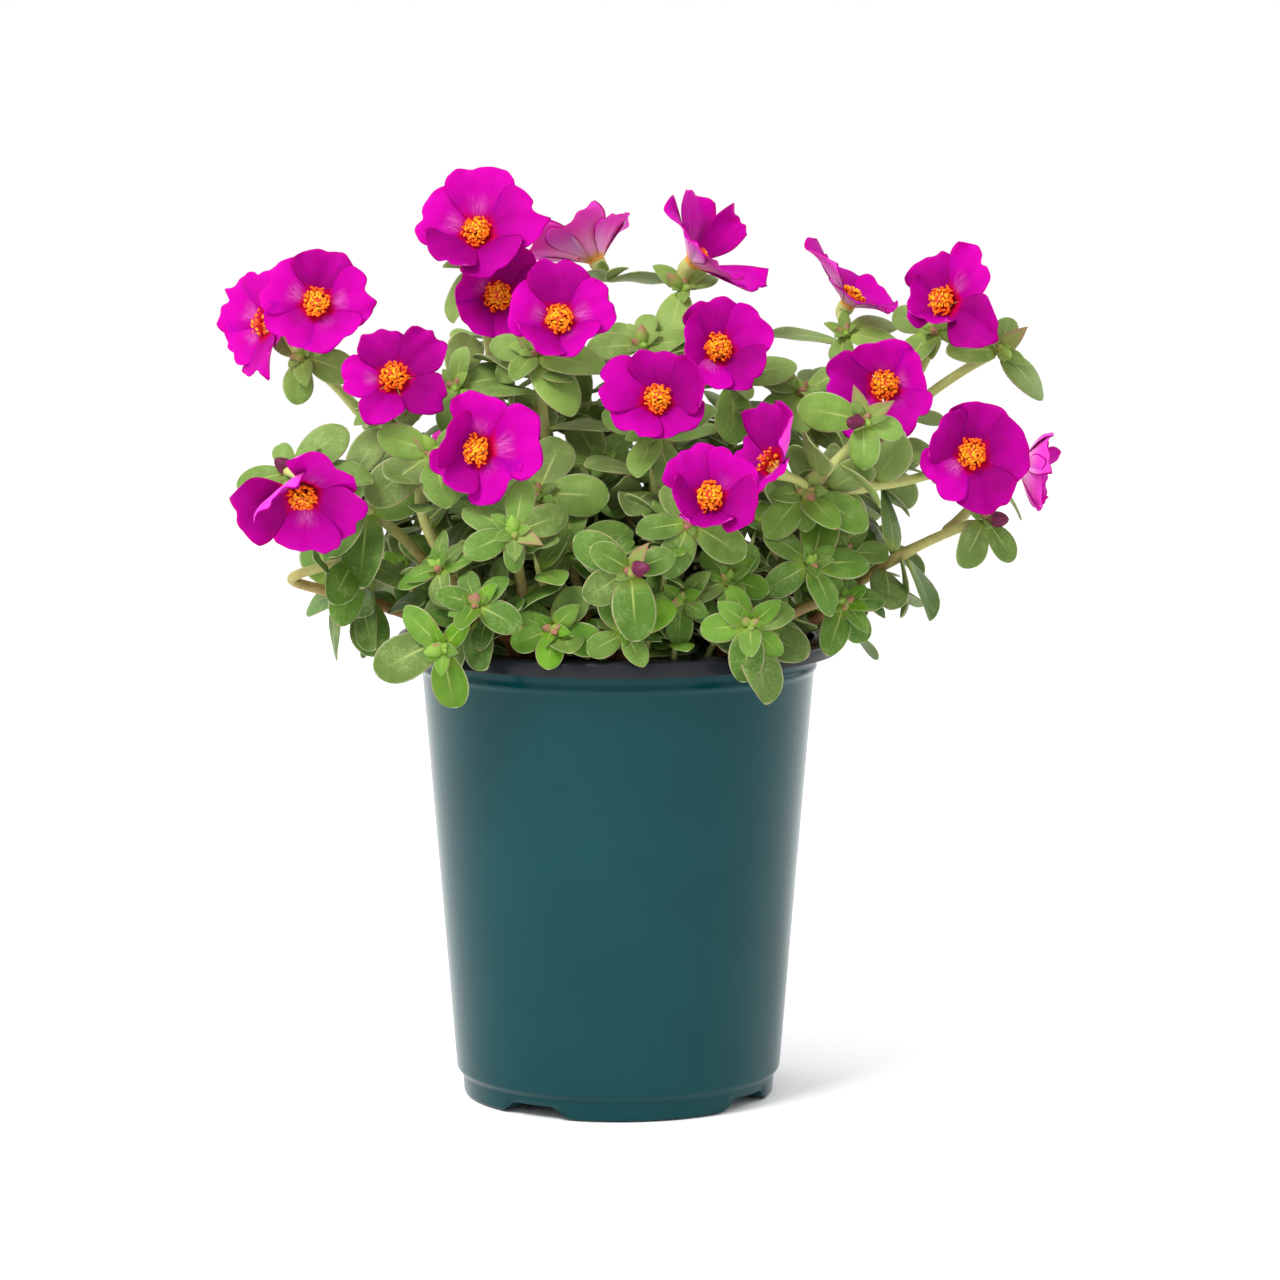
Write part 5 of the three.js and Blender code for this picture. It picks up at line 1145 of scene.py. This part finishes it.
# %% Stamen material
pollen = Finish("stamen_orange", Specular_IOR_Level=0.15)
ripe, outer, style, tint = pollen.skin()
red_thread = pollen.mix(hue("d42a10"), hue("f0561a"), tint)
orange = pollen.mix(hue("fbb01f"), hue("f2560f"), (outer * 2 - 1.35 + 0.4 * tint).between(0, 0.75))
grain = pollen.noise(2400, 4)
grainy = pollen.mix(orange, hue("ffcb48"), grain.between(0.5, 0.8) * 0.4)
colour = pollen.mix(red_thread, grainy, ripe.between(0.6, 0.9))
pollen.vary(Base_Color=pollen.mix(colour, hue("e9503a"), style), Roughness=0.6 + 0.25 * grain)
pollen.bump(grain, 0.6, 0.0002)
for label, bunch in bunches:
    bunch.build(f"stamens_{label}_fine", [pollen.material], "stamen_orange", f"stamens_{label}")
print("nodes of the stamens' finish:", len(pollen.tree.nodes))

# %% [markdown]
# ## Stems
# The stems are round and fleshy, reddish brown near the crown and pale yellow-green where they are
# young. Each follows the same curve as its solid. The stalk of a flower swells into a green calyx
# that holds the petals, so stalk and calyx are one tube whose width changes along the way.

# %% Tubes along curves


def tube(growth, points, tangents, radius, values, slot, sides=10):
    """A round tube: each ring is the point plus radius * (cos a * X + sin a * Y), across the tangent.

    X is carried along the curve: at each point it is one fixed direction less its share along the
    tangent, so the skin doesn't twist.
    """
    chord = unit(points[-1] - points[0])
    fixed = np.cross(tangents[0], tangents[-1])
    if np.linalg.norm(fixed) < 0.15:
        fixed = np.cross(chord, [0.3, 1, 0.2])
    across = fixed - tangents * (tangents @ fixed)[:, None]
    across /= np.linalg.norm(across, axis=1, keepdims=True)
    other = np.cross(tangents, across)
    a = circle(sides)[:, None]
    ring = np.cos(a) * across[:, None] + np.sin(a) * other[:, None]
    rings = points[:, None] + np.asarray(radius)[:, None, None] * ring
    growth.rings(rings, number(rings.shape[:2], *values), slot)
    return rings


def plant_curves(plant):
    """The cubic of each stem, from the crown or from its place on its parent."""
    base = np.array([*plant.root, MIX_TOP + 1.0])
    curves = []
    for parent, share, start, end, end_dir, *handle in plant.stems:
        spread = np.array([start[0], start[1], 0.0])
        size = np.linalg.norm(spread)
        if parent < 0:
            origin = base + (1.4 * spread / size if size else 0)
        else:
            origin = spot_on(curves[parent], share)[0]
        curves.append(bow(origin, start, end, end_dir, *handle))
    return curves


def neck_curve(curve, origin, axis):
    """The stalk from a stem's end to the foot of a flower."""
    end, tangent = spot_on(curve, 1.0)
    return bow(end, tangent, origin, axis)


all_curves = {plant.name: plant_curves(plant) for plant in PLANTS}
print("stems:", sum(len(curves) for curves in all_curves.values()))

# %% [markdown]
# ## Leaves
# A leaf is a fleshy blade, widest past its middle, with a blunt tip, a groove over its midrib and a
# slight fold. It bends away from the rosette's axis. A flat picture of a leaf would look like paper
# from the side, so each leaf is a closed skin with real thickness: flattened rings along an arc.

# %% One leaf as a function of two parameters
BEND = np.radians(26)  # how far a leaf's tip turns away from its root


def leaf(start, along, upper, length, half_width, look, rows=13, sides=16):
    """Rings of a leaf along an arc that bends away from its upper side.

    With u from 0 to 1, s = sin(90 degrees * u) crowds the rings at the tip. Half the width is
    s^p * (1 - s)^q over its largest value, plus a short stalk: p above q puts the widest place past
    the middle. A ring is cos a across and thickness * sin a up, so its edges are thin. The fold lifts
    the sides by their distance from the midrib, the groove lowers the upper side at the midrib, and a
    slow sine waves the margin.
    """
    fold, wave, phase, twist, p, q = look
    normal = unit(upper - along * (upper @ along))
    side = np.cross(normal, along)
    s = np.sin(np.pi / 2 * np.linspace(0, 1, rows))[:, None]
    a = circle(sides)[None]
    peak = p / (p + q)
    shape = s**p * (1 - s) ** q / (peak**p * (1 - peak) ** q)
    half = half_width * shape + 0.75 * (1 - s) ** 2
    thick = (0.5 + 0.35 * min(1, length / 24)) * (1 - s**8) ** 0.5 * (0.75 + 0.35 * (1 - s) ** 2)
    groove = 0.5 * bell(np.cos(a) / 0.16) * np.where(np.sin(a) > 0, 1, -0.8) * s * (1 - s) * 2.4
    up = thick * np.sin(a) - groove * thick
    waving = wave * half * np.sin(7 * s + phase) * np.cos(a) ** 2 * s
    up = up + fold * half * np.abs(np.cos(a)) * s + waving
    across = half * np.cos(a)
    roll = twist * s
    across, up = across * np.cos(roll) - up * np.sin(roll), across * np.sin(roll) + up * np.cos(roll)
    turn = BEND * s
    bent = np.sin(turn)[..., None] * along - (1 - np.cos(turn))[..., None] * normal
    middle = start + (length / BEND) * bent
    lift = np.cos(turn)[..., None] * normal + np.sin(turn)[..., None] * along
    rings = middle + across[..., None] * side + up[..., None] * lift
    return rings, s + 0 * a, np.cos(a) + 0 * s, (np.sin(a) > 0) + 0.0 * s


def clock_direction(rows, clock, angle):
    """A direction in a frame: the sine of its angle times the clock's hand, plus the cosine times Z."""
    c, a = np.radians(clock), np.radians(angle)
    return np.array([np.sin(a) * np.sin(c), np.sin(a) * np.cos(c), np.cos(a)]) @ rows


def leaf_look(draw):
    """Fold, wave, phase, twist and the outline's two powers of one leaf."""
    fold, wave, phase, twist = 0.5 * draw() - 0.08, 0.16 * draw(), 6.3 * draw(), 1.3 * (draw() - 0.5)
    return fold, wave, phase, twist, 0.7 + 0.3 * draw(), 0.58


def fits(rings, owner, clear_from):
    """Whether a leaf meets only its own plant past its root, and nothing at all from one ring on."""
    return is_free(rings[3:], (0, owner)) and is_free(rings[clear_from:])


def grow_leaf(growth, blade, tint, owner, root=3):
    """Adds a leaf to its plant's skin and fills its cells, from the ring that ends its root."""
    rings, s, across, top = blade
    growth.rings(rings, number(s.shape, s, 0.5 + 0.5 * across, top, tint))
    claim(rings[root:], owner, 0)


sample, *_ = leaf(np.zeros(3), np.eye(3)[0], np.eye(3)[2], 24, 7, (0.1, 0, 0, 0, 0.9, 0.5))
print("length, width and rise of a leaf:", np.ptp(sample.reshape(-1, 3), axis=0).round(1))

# %% The leaf that a solid has: which bend was chosen for it


def chosen(points, centre, rows, axis, entry, default, at_tip):
    """Start, direction and length of a leaf, known by its tip, which is a point of the plant's solid."""
    clock, length, angle = (*entry, default)[:3]
    for tilt, swing, scale in BENDS:
        along = clock_direction(rows, clock + swing, angle + tilt)
        start = centre + along * (1.6 if at_tip else 0.5)
        size = length * scale
        normal = unit(axis - along * (axis @ along))
        tip = start + size / BEND * (np.sin(BEND) * along - (1 - np.cos(BEND)) * normal)
        if np.abs(points - tip).sum(1).min() < 0.06:
            return start, along, size
    return None


def points_of(node):
    """The points of a node's solid, in millimetres."""
    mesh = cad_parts[node].data
    flat = np.empty(3 * len(mesh.vertices), np.float32)
    mesh.vertices.foreach_get("co", flat)
    return flat.reshape(-1, 3).astype(float) / MM


print("points of the left plant's solid:", len(points_of("plant_left")))

# %% Buds and withered flowers
SPENT = {("front_left", 1), ("right", 2), ("right_low", 0), ("front", 0), ("left", 1)}


def bud(growth, centre, along, length, kind, seed, slot):
    """A lathe about the bud's own axis: its radius is sin(180 degrees * u^0.72)^0.8, five-ribbed.

    A green bud tapers to a point, and a short one is thinner. A withered flower is wider, has
    deeper ribs and ends in a crumpled tuft. All ribs twist a little.
    """
    spent = kind > 0.9
    u = np.linspace(0, 1, 15)[:, None]
    a = circle(20)[None]
    radius = (2.7 if spent else min(2.5, 0.42 * length)) * np.sin(np.pi * u**0.72) ** 0.8
    if spent:
        radius = radius + 1.3 * u**3 * (1 - u) ** 0.5 * (1 + 0.5 * np.sin(3 * a + seed))
    ribs = 1 + (0.05 + 0.16 * spent * u) * np.sin(5 * a + 2.5 * u + seed)
    radius = radius * ribs + 0.4 * (1 - u)
    rings = centre + turned(radius, 0.6 + (length + 1.4) * u, a) @ facing(along)
    growth.rings(rings, number(rings.shape[:2], u, kind, 0, (seed % 10) / 10), slot)
    return rings


print("stems that bear withered flowers:", len(SPENT))

# %% [markdown]
# ## Growing the plants
# First come the flowers' stalks and calyxes and all stems, then the leaves that the solids have, so
# that they fill their cells. The extra leaves come last and only where there is room: small ones at
# the rosettes' hearts, single ones in a spiral along the stems inside the plant, and short leafy
# shoots that rise from the mix and hide it.

# %% Stalks and calyxes
STEM_SLOT, BUD_SLOT = 1, 2  # the leaves' finish comes first

growths = {plant.name: Growth() for plant in PLANTS}
owner_of = {plant.name: FIRST_PLANT + i for i, plant in enumerate(PLANTS)}
for (owner, stem, *_), (_, _, origin, rows) in zip(BLOOMS, flowers):
    curve = neck_curve(all_curves[owner][stem], origin - 0.5 * rows[2], rows[2])
    t = np.linspace(0, 1, 22)
    points, tangents = walk(curve, t)
    swell = bell((1 - t) * span(curve) / 5.5)
    points = np.concatenate([points, origin + np.outer([0.6, 1.2], rows[2])])
    tangents = np.concatenate([tangents, [rows[2]] * 2])
    radius = np.concatenate([1.55 + 0.2 * (1 - t) + 1.75 * swell, [3.45, 2.6]])
    numbers = (0.72, np.linspace(0.6, 1, 24)[:, None], 0, 0.5)
    rings = tube(growths[owner], points, tangents, radius, numbers, STEM_SLOT, 12)
    claim(rings, owner_of[owner])
print("stalk points:", sum(growth.count for growth in growths.values()))

# %% Stems and crowns
CROWN = [(0, 156), (4.2, 156), (4.6, 165), (4.9, 168), (4.2, 170.5), (2.6, 172), (0, 172.4)]
CROWN = np.array(CROWN)  # radius and height

for plant in PLANTS:
    growth = growths[plant.name]
    for stem_index, curve in enumerate(all_curves[plant.name]):
        length = span(curve)
        t = np.linspace(0, 1, max(8, int(length / 5)))
        points, tangents = walk(curve, t)
        radius = 2.35 - 0.55 * t
        for rosette in plant.rosettes:
            if rosette.stem == stem_index:
                radius = radius + 0.55 * bell((t - rosette.share) * length / 3.5)
        level = np.clip((points[:, 2] - MIX_TOP + 1) / 100, 0, 1)[:, None]
        numbers = (0.65 * level + 0.2 * t[:, None], t[:, None], 0, 0.3)
        claim(tube(growth, points, tangents, radius, numbers, STEM_SLOT), owner_of[plant.name])
    x, y = plant.root
    angle = circle(18)
    wavy = CROWN[:, :1] * (1 + 0.12 * np.sin(3 * angle + x))
    rings = [x, y, 0] + turned(wavy, CROWN[:, 1:], angle)
    growth.rings(rings, number(rings.shape[:2], 0, 0, 0, 0.5), STEM_SLOT)
print("stem points:", sum(growth.count for growth in growths.values()))

# %% The leaves, sepals and buds that the solids have
LEAF_KIND = (76, 0.29, False)  # angle to the axis, half the width over the length, is it a sepal
SEPAL_KIND = (50, 0.22, True)
BUD_ANGLE = 42  # degrees
SMALL, ROOTED = 23, 1.2  # millimetres: a small leaf's length, and how far its root reaches into the stem


def deep(height, level):
    """0 above a level and 1 from 40 mm below it: deep in the plant the leaves are younger."""
    return np.clip((level - height) / 40, 0, 1)


missing = 0
rosette_ends = []
for index, (name, _, _, rosettes) in enumerate(PLANTS):
    growth, curves, own = growths[name], all_curves[name], owner_of[name]
    points = points_of(f"plant_{name}")
    draw = draws(901 + index)
    for stem, share, axis, leaves, buds, sepals in rosettes:
        centre = spot_on(curves[stem], share)[0]
        axis = unit(axis)
        rows = facing(axis)
        low = deep(centre[2], 215)
        kinds = [(entry, *LEAF_KIND) for entry in leaves] + [(entry, *SEPAL_KIND) for entry in sepals]
        for entry, default, wide, sepal in kinds:
            found = chosen(points, centre, rows, axis, entry, default, share == 1)
            look = leaf_look(draw)
            tint = 0.08 + 0.5 * draw() + 0.42 * low * (entry[1] < SMALL)
            if sepal:
                look, tint = (0.5, 0.0, 0.0, look[3], 0.5, 1.0), 2.0
            if found is None:
                missing += 1
                continue
            start, along, size = found
            size += ROOTED
            half = wide * size * (1 if sepal else 0.88 + 0.26 * draw())
            blade = leaf(start - ROOTED * along, along, axis, size, half, look)
            grow_leaf(growth, blade, tint, own, 1)
        for clock, length in buds:
            along = clock_direction(rows, clock, BUD_ANGLE)
            kind = 1.0 if (name, stem) in SPENT and share == 1 else 0.6 * draw()
            claim(bud(growth, centre, along, length, kind, 7.3 * draw(), BUD_SLOT), own)
        if share == 1:
            rosette_ends.append((name, centre, axis, rows, low))
print("leaves of the solids that weren't found:", missing, "; rosettes:", len(rosette_ends))

# %% Small young leaves at the hearts of the rosettes
TIERS = [(66, 11.5), (42, 7.5)]  # angle to the axis and length
IN_TIER, HEART_BUDS = 3, 3

added = 0
for index, (name, centre, axis, rows, low) in enumerate(rosette_ends):
    draw = draws(1201 + index)
    growth, own = growths[name], owner_of[name]
    for tier, (angle, size) in enumerate(TIERS):
        for k in range(IN_TIER):
            clock = 360 * (k + 0.6 * draw()) / IN_TIER + 47 * tier
            along = clock_direction(rows, clock, angle + 20 * (draw() - 0.5))
            length = size * (0.7 + 0.6 * draw())
            look = (0.4, 0, 0, 0.8 * (draw() - 0.5), 0.6, 0.75)
            blade = leaf(centre + along, along, axis, length, 0.27 * length, look, 9, 10)
            if fits(blade[0], own, 5 if tier == 0 else 9):
                grow_leaf(growth, blade, 0.3 + 0.3 * draw() + 0.45 * low, own)
                added += 1
    for k in range(HEART_BUDS):
        along = clock_direction(rows, 120 * k + 90 * draw(), 26 + 16 * draw())
        bud(growth, centre, along, 3.0 + 1.4 * draw(), 0.15 + 0.65 * draw(), 7.3 * draw(), BUD_SLOT)
print("young leaves:", added)

# %% Leaves along the stems, where there is room
NODE_STEP, TRIES = 5, 6  # millimetres from leaf to leaf, and the tries to place each


def bare(point, draw):
    """Whether a stem is bare here: outside an oval about the plant's middle, and at times in front."""
    inside = (point[0] / 112) ** 2 + ((point[2] - 215) / 75) ** 2 < 1
    crowded = point[1] < -25 and point[2] > 195 and draw() < 0.6
    return not inside or crowded


added = 0
for index, plant in enumerate(PLANTS):
    growth, own = growths[plant.name], owner_of[plant.name]
    draw = draws(1501 + index)
    for curve in all_curves[plant.name]:
        length = span(curve)
        for step in range(2, int(length / NODE_STEP)):
            point, tangent = spot_on(curve, step * NODE_STEP / length)
            if bare(point, draw):
                continue
            rows = facing(tangent)
            upper = unit(tangent + [0, 0, 0.9])
            for attempt in range(TRIES):
                clock = 137.5 * step + 67 * attempt + 30 * draw()
                along = clock_direction(rows, clock, 48 + 40 * draw())
                size = (27 - 2.6 * attempt) * (0.78 + 0.35 * draw())
                look = leaf_look(draw)
                blade = leaf(point + 1.2 * along, along, upper, size, 0.29 * size, look, 11, 12)
                if fits(blade[0], own, 5):
                    # leaves inside the plant often get a low young number, which darkens them: partly
                    # painted shade
                    grow_leaf(growth, blade, 0.45 * draw() - 0.1 + 0.35 * deep(point[2], 205), own)
                    added += 1
                    break
print("leaves along the stems:", added)

# %% A short leafy shoot
SHOOT_STEP, SHOOT_REACH = 9, 66  # from tier to tier, and how far from the pot's axis shoots rise
MIDDLE_TIER = (3, 120, 74, 21)  # leaves, degrees from leaf to leaf, angle to the stem, length
LAST_TIER = (6, 60, 62, 18.5)


def shoot_leaves(growth, curve, height, tint, draw):
    """Tiers of leaves up a shoot, each leaf in the largest of three sizes that fits; how many fitted."""
    fitted = 0
    tiers = max(2, int(height / SHOOT_STEP))
    for tier in range(1, tiers + 1):
        point, tangent = spot_on(curve, tier / tiers)
        rows, upper = facing(tangent), unit(tangent + [0, 0, 0.5])
        leaves, swing, angle, longest = LAST_TIER if tier == tiers else MIDDLE_TIER
        for k in range(leaves):
            clock = swing * k + 74 * tier + 24 * draw()
            along = clock_direction(rows, clock, angle + 16 * (draw() - 0.5))
            length = longest * (0.72 + 0.4 * draw())
            look = leaf_look(draw)
            for size in (length, length * 0.8, length * 0.6):
                blade = leaf(point + 0.8 * along, along, upper, size, 0.31 * size, look, 10, 12)
                if fits(blade[0], SHOOT_OWNER, 6):
                    grow_leaf(growth, blade, 0.35 * draw() - 0.1 + 0.6 * tint, SHOOT_OWNER)
                    fitted += 1
                    break
    return fitted


print("leaves of a shoot's tiers:", MIDDLE_TIER[0], "and of its last:", LAST_TIER[0])

# %% Short leafy shoots that rise from the mix
SHOOTS, QUARTERS, ATTEMPTS = 74, 4, 900
APART, BURIED = 7, 2  # millimetres

shoots = [Growth() for _ in range(QUARTERS)]
draw = draws(4242)
roots = [np.array(plant.root, float) for plant in PLANTS]
added = grown = 0
for attempt in range(ATTEMPTS):
    if grown == SHOOTS:
        break
    reach, turn = SHOOT_REACH * np.sqrt(draw()), 2 * np.pi * draw()
    place = np.array([reach * np.cos(turn), reach * np.sin(turn)])
    if min(np.linalg.norm(place - root) for root in roots) < APART:
        continue
    height = (20 + 62 * draw()) * (1.12 - 0.5 * reach / SHOOT_REACH)
    outward = np.array([*place, 0]) / SHOOT_REACH
    lean = outward * height * 0.45 + 7 * np.array([draw() - 0.5, draw() - 0.5, 0])
    foot = np.array([*place, MIX_TOP - BURIED])
    rise = np.array([0, 0, height])
    curve = bow(foot, 0.2 * lean + rise, foot + lean + rise, lean + 0.9 * rise)
    points, tangents = walk(curve, np.linspace(0, 1, 9))
    if not is_free(points[3:], (0, SHOOT_OWNER)):
        continue
    roots.append(place)
    grown += 1
    growth = shoots[int(turn / (np.pi / 2)) % QUARTERS]
    radius, numbers = np.linspace(1.5, 1.0, 9), (np.linspace(0.25, 0.8, 9)[:, None], 0, 0, draw())
    claim(tube(growth, points, tangents, radius, numbers, STEM_SLOT, 7), SHOOT_OWNER, 0)
    # shoots near the middle get a low young number, so their leaves take a dark green: partly painted
    # shade inside the plant
    added += shoot_leaves(growth, curve, height, np.clip((reach - 30) / 36, 0, 1), draw)
print("shoots:", grown, "with leaves:", added)

# %% [markdown]
# ## Finish of leaves, stems and buds
# A leaf is a dull grass green with a fine waxy bloom, a pale midrib that fades towards the tip and a
# thin pale margin, often pinkish. Its underside is paler. Young leaves are bright yellow-green. Leaves
# low in the plant get painted shade, a darker green, and the highest leaves a painted light, a paler
# green. Old leaves inside the plant are a dark green that is partly their age and partly painted shade.
# Images would need a map for every leaf. Here all of it follows the two numbers along and across the
# leaf, the one that says how young it is, and the height.

# %% Leaf material
green = Finish("leaf_green", Specular_IOR_Level=0.15)
along, across, upper, young = green.skin()
off = abs(across * 2 - 1)
cloud = green.noise(130, 3)
grain = green.noise(900, 4)
veins = green.noise(6, 3, at=green.spot(along * 9 - off * 5, off * 2, young * 30))
mood = (young * 37.3).fraction()
# height of a point from 0.19 m to 0.3 m: it steers painted shade on low leaves and painted light on high
# ones
painted_light_by_height = green.node("ShaderNodeSeparateXYZ", {0: green.place()}, pick="Z").between(0.19, 0.3)
patchy = (cloud * 0.5 + veins * 0.4 + mood * 0.6).between(0.25, 1.2)
old = green.mix(hue("213e03"), hue("6b9638"), patchy)
patchy = (cloud * 0.5 + veins * 0.4 + mood * 0.4).between(0.3, 1.0)
fresh = green.mix(hue("3c7306"), hue("7aab24"), patchy)
blade = green.mix(old, fresh, young.between(0.25, 0.95))
# painted shade: leaves low in the plant are mixed towards a dark green
blade = green.mix(blade, hue("1a3600"), (1 - painted_light_by_height) * mood.between(0.35, 0.9) * 0.5)
# a dark green where the young number is low: partly older leaves, and partly painted shade for the
# leaves inside the plant and the shoots in its middle
blade = green.mix(blade, hue("12290c"), (1 - young.between(-0.05, 0.22)) * 0.6)
rib = (1 - off.between(0.0, 0.09)) * (1 - along.between(0.25, 0.9))
blade = green.mix(blade, hue("aebb66"), rib * 0.75)
blade = green.mix(blade, hue("9bb23a"), (1 - along.between(0.02, 0.36)) * (0.35 + 0.6 * veins))
under = green.mix(blade, hue("8b9a60"), 0.5)
under = green.mix(under, hue("a3897c"), (cloud * off).between(0.4, 0.8) * 0.5)
blade = green.mix(under, blade, upper.between(0.3, 0.7))
frosted = (grain * cloud).between(0.2, 0.5) * 0.3 * (1 - young.between(0.3, 0.9))
wax_and_painted_light = green.mix(blade, hue("abb684"), frosted)
# painted light: the highest leaves are mixed towards a pale green; the rest of the mix is each leaf's
# own tone
wax_and_painted_light = green.mix(wax_and_painted_light, hue("b0c470"), painted_light_by_height * (0.12 + 0.24 * mood) + (1 - mood).between(0.5, 0.9) * 0.17)
margin = 1 - (1 - off.between(0.9, 0.985)) * (1 - along.between(0.965, 0.99))
edge = green.mix(hue("c3c79a"), hue("b98a7c"), cloud.between(0.45, 0.65))
leafy = green.mix(wax_and_painted_light, edge, margin * 0.55)
blush = (along * 0.7 + off * 0.4).between(0.4, 1.0) * (cloud + 0.4)
sepal = green.mix(hue("84954c"), hue("98685a"), blush)
leafy = green.mix(leafy, sepal, young.between(1.4, 1.6))
green.vary(Base_Color=leafy, Roughness=0.3 + 0.25 * grain + 0.1 * cloud)
green.bump(grain * 0.4 + veins * 0.9 - rib * 0.8, 0.35, 0.0006)
print("nodes of the leaves' finish:", len(green.tree.nodes))

# %% Stem material
stalk = Finish("stem_skin", Specular_IOR_Level=0.35)
age, *_ = stalk.skin()
streak = stalk.noise(300, 3)
bark = stalk.mix(hue("7d4a2c"), hue("a2754a"), streak)
young_skin = stalk.mix(hue("a8aa56"), hue("bac27c"), streak)
skin = stalk.mix(bark, young_skin, (age + 0.25 * streak - 0.1).between(0.15, 0.7))
stalk.vary(Base_Color=skin, Roughness=0.4 + 0.3 * streak)
stalk.bump(streak, 0.3, 0.0005)
print("nodes of the stems' finish:", len(stalk.tree.nodes))

# %% Bud material, and the meshes of the plants and shoots
husk = Finish("bud_skin", Specular_IOR_Level=0.35)
along, kind, *_ = husk.skin()
streak = husk.noise(420, 3)
live = husk.mix(hue("7ca03a"), hue("9a6a55"), (along * kind * 2 + 0.4 * streak).between(0.5, 1.3))
tuft = husk.mix(hue("7d0a4a"), hue("2c0819"), streak)
dead = husk.mix(hue("8a6a4a"), tuft, along.between(0.2, 0.45))
husk.vary(Base_Color=husk.mix(live, dead, kind.between(0.85, 0.95)), Roughness=0.45 + 0.3 * streak)
husk.bump(streak, 0.4, 0.0005)

skins = [green.material, stalk.material, husk.material]
for name, growth in growths.items():
    growth.build(f"plant_{name}_fine", skins, "plant_green", f"plant_{name}")
for quarter, growth in enumerate(shoots):
    growth.build(f"inner_shoots_{quarter + 1}", skins, "plant_green")
print("plant points:", {name: growth.count for name, growth in growths.items()})

# %% [markdown]
# ## Faces of the pieces
# The finer skins have to stay where the solids are. The faces of the shown pieces are counted.

# %% Faces of the shown pieces
count = sum(len(piece.data.polygons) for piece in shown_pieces() if piece.type == "MESH")
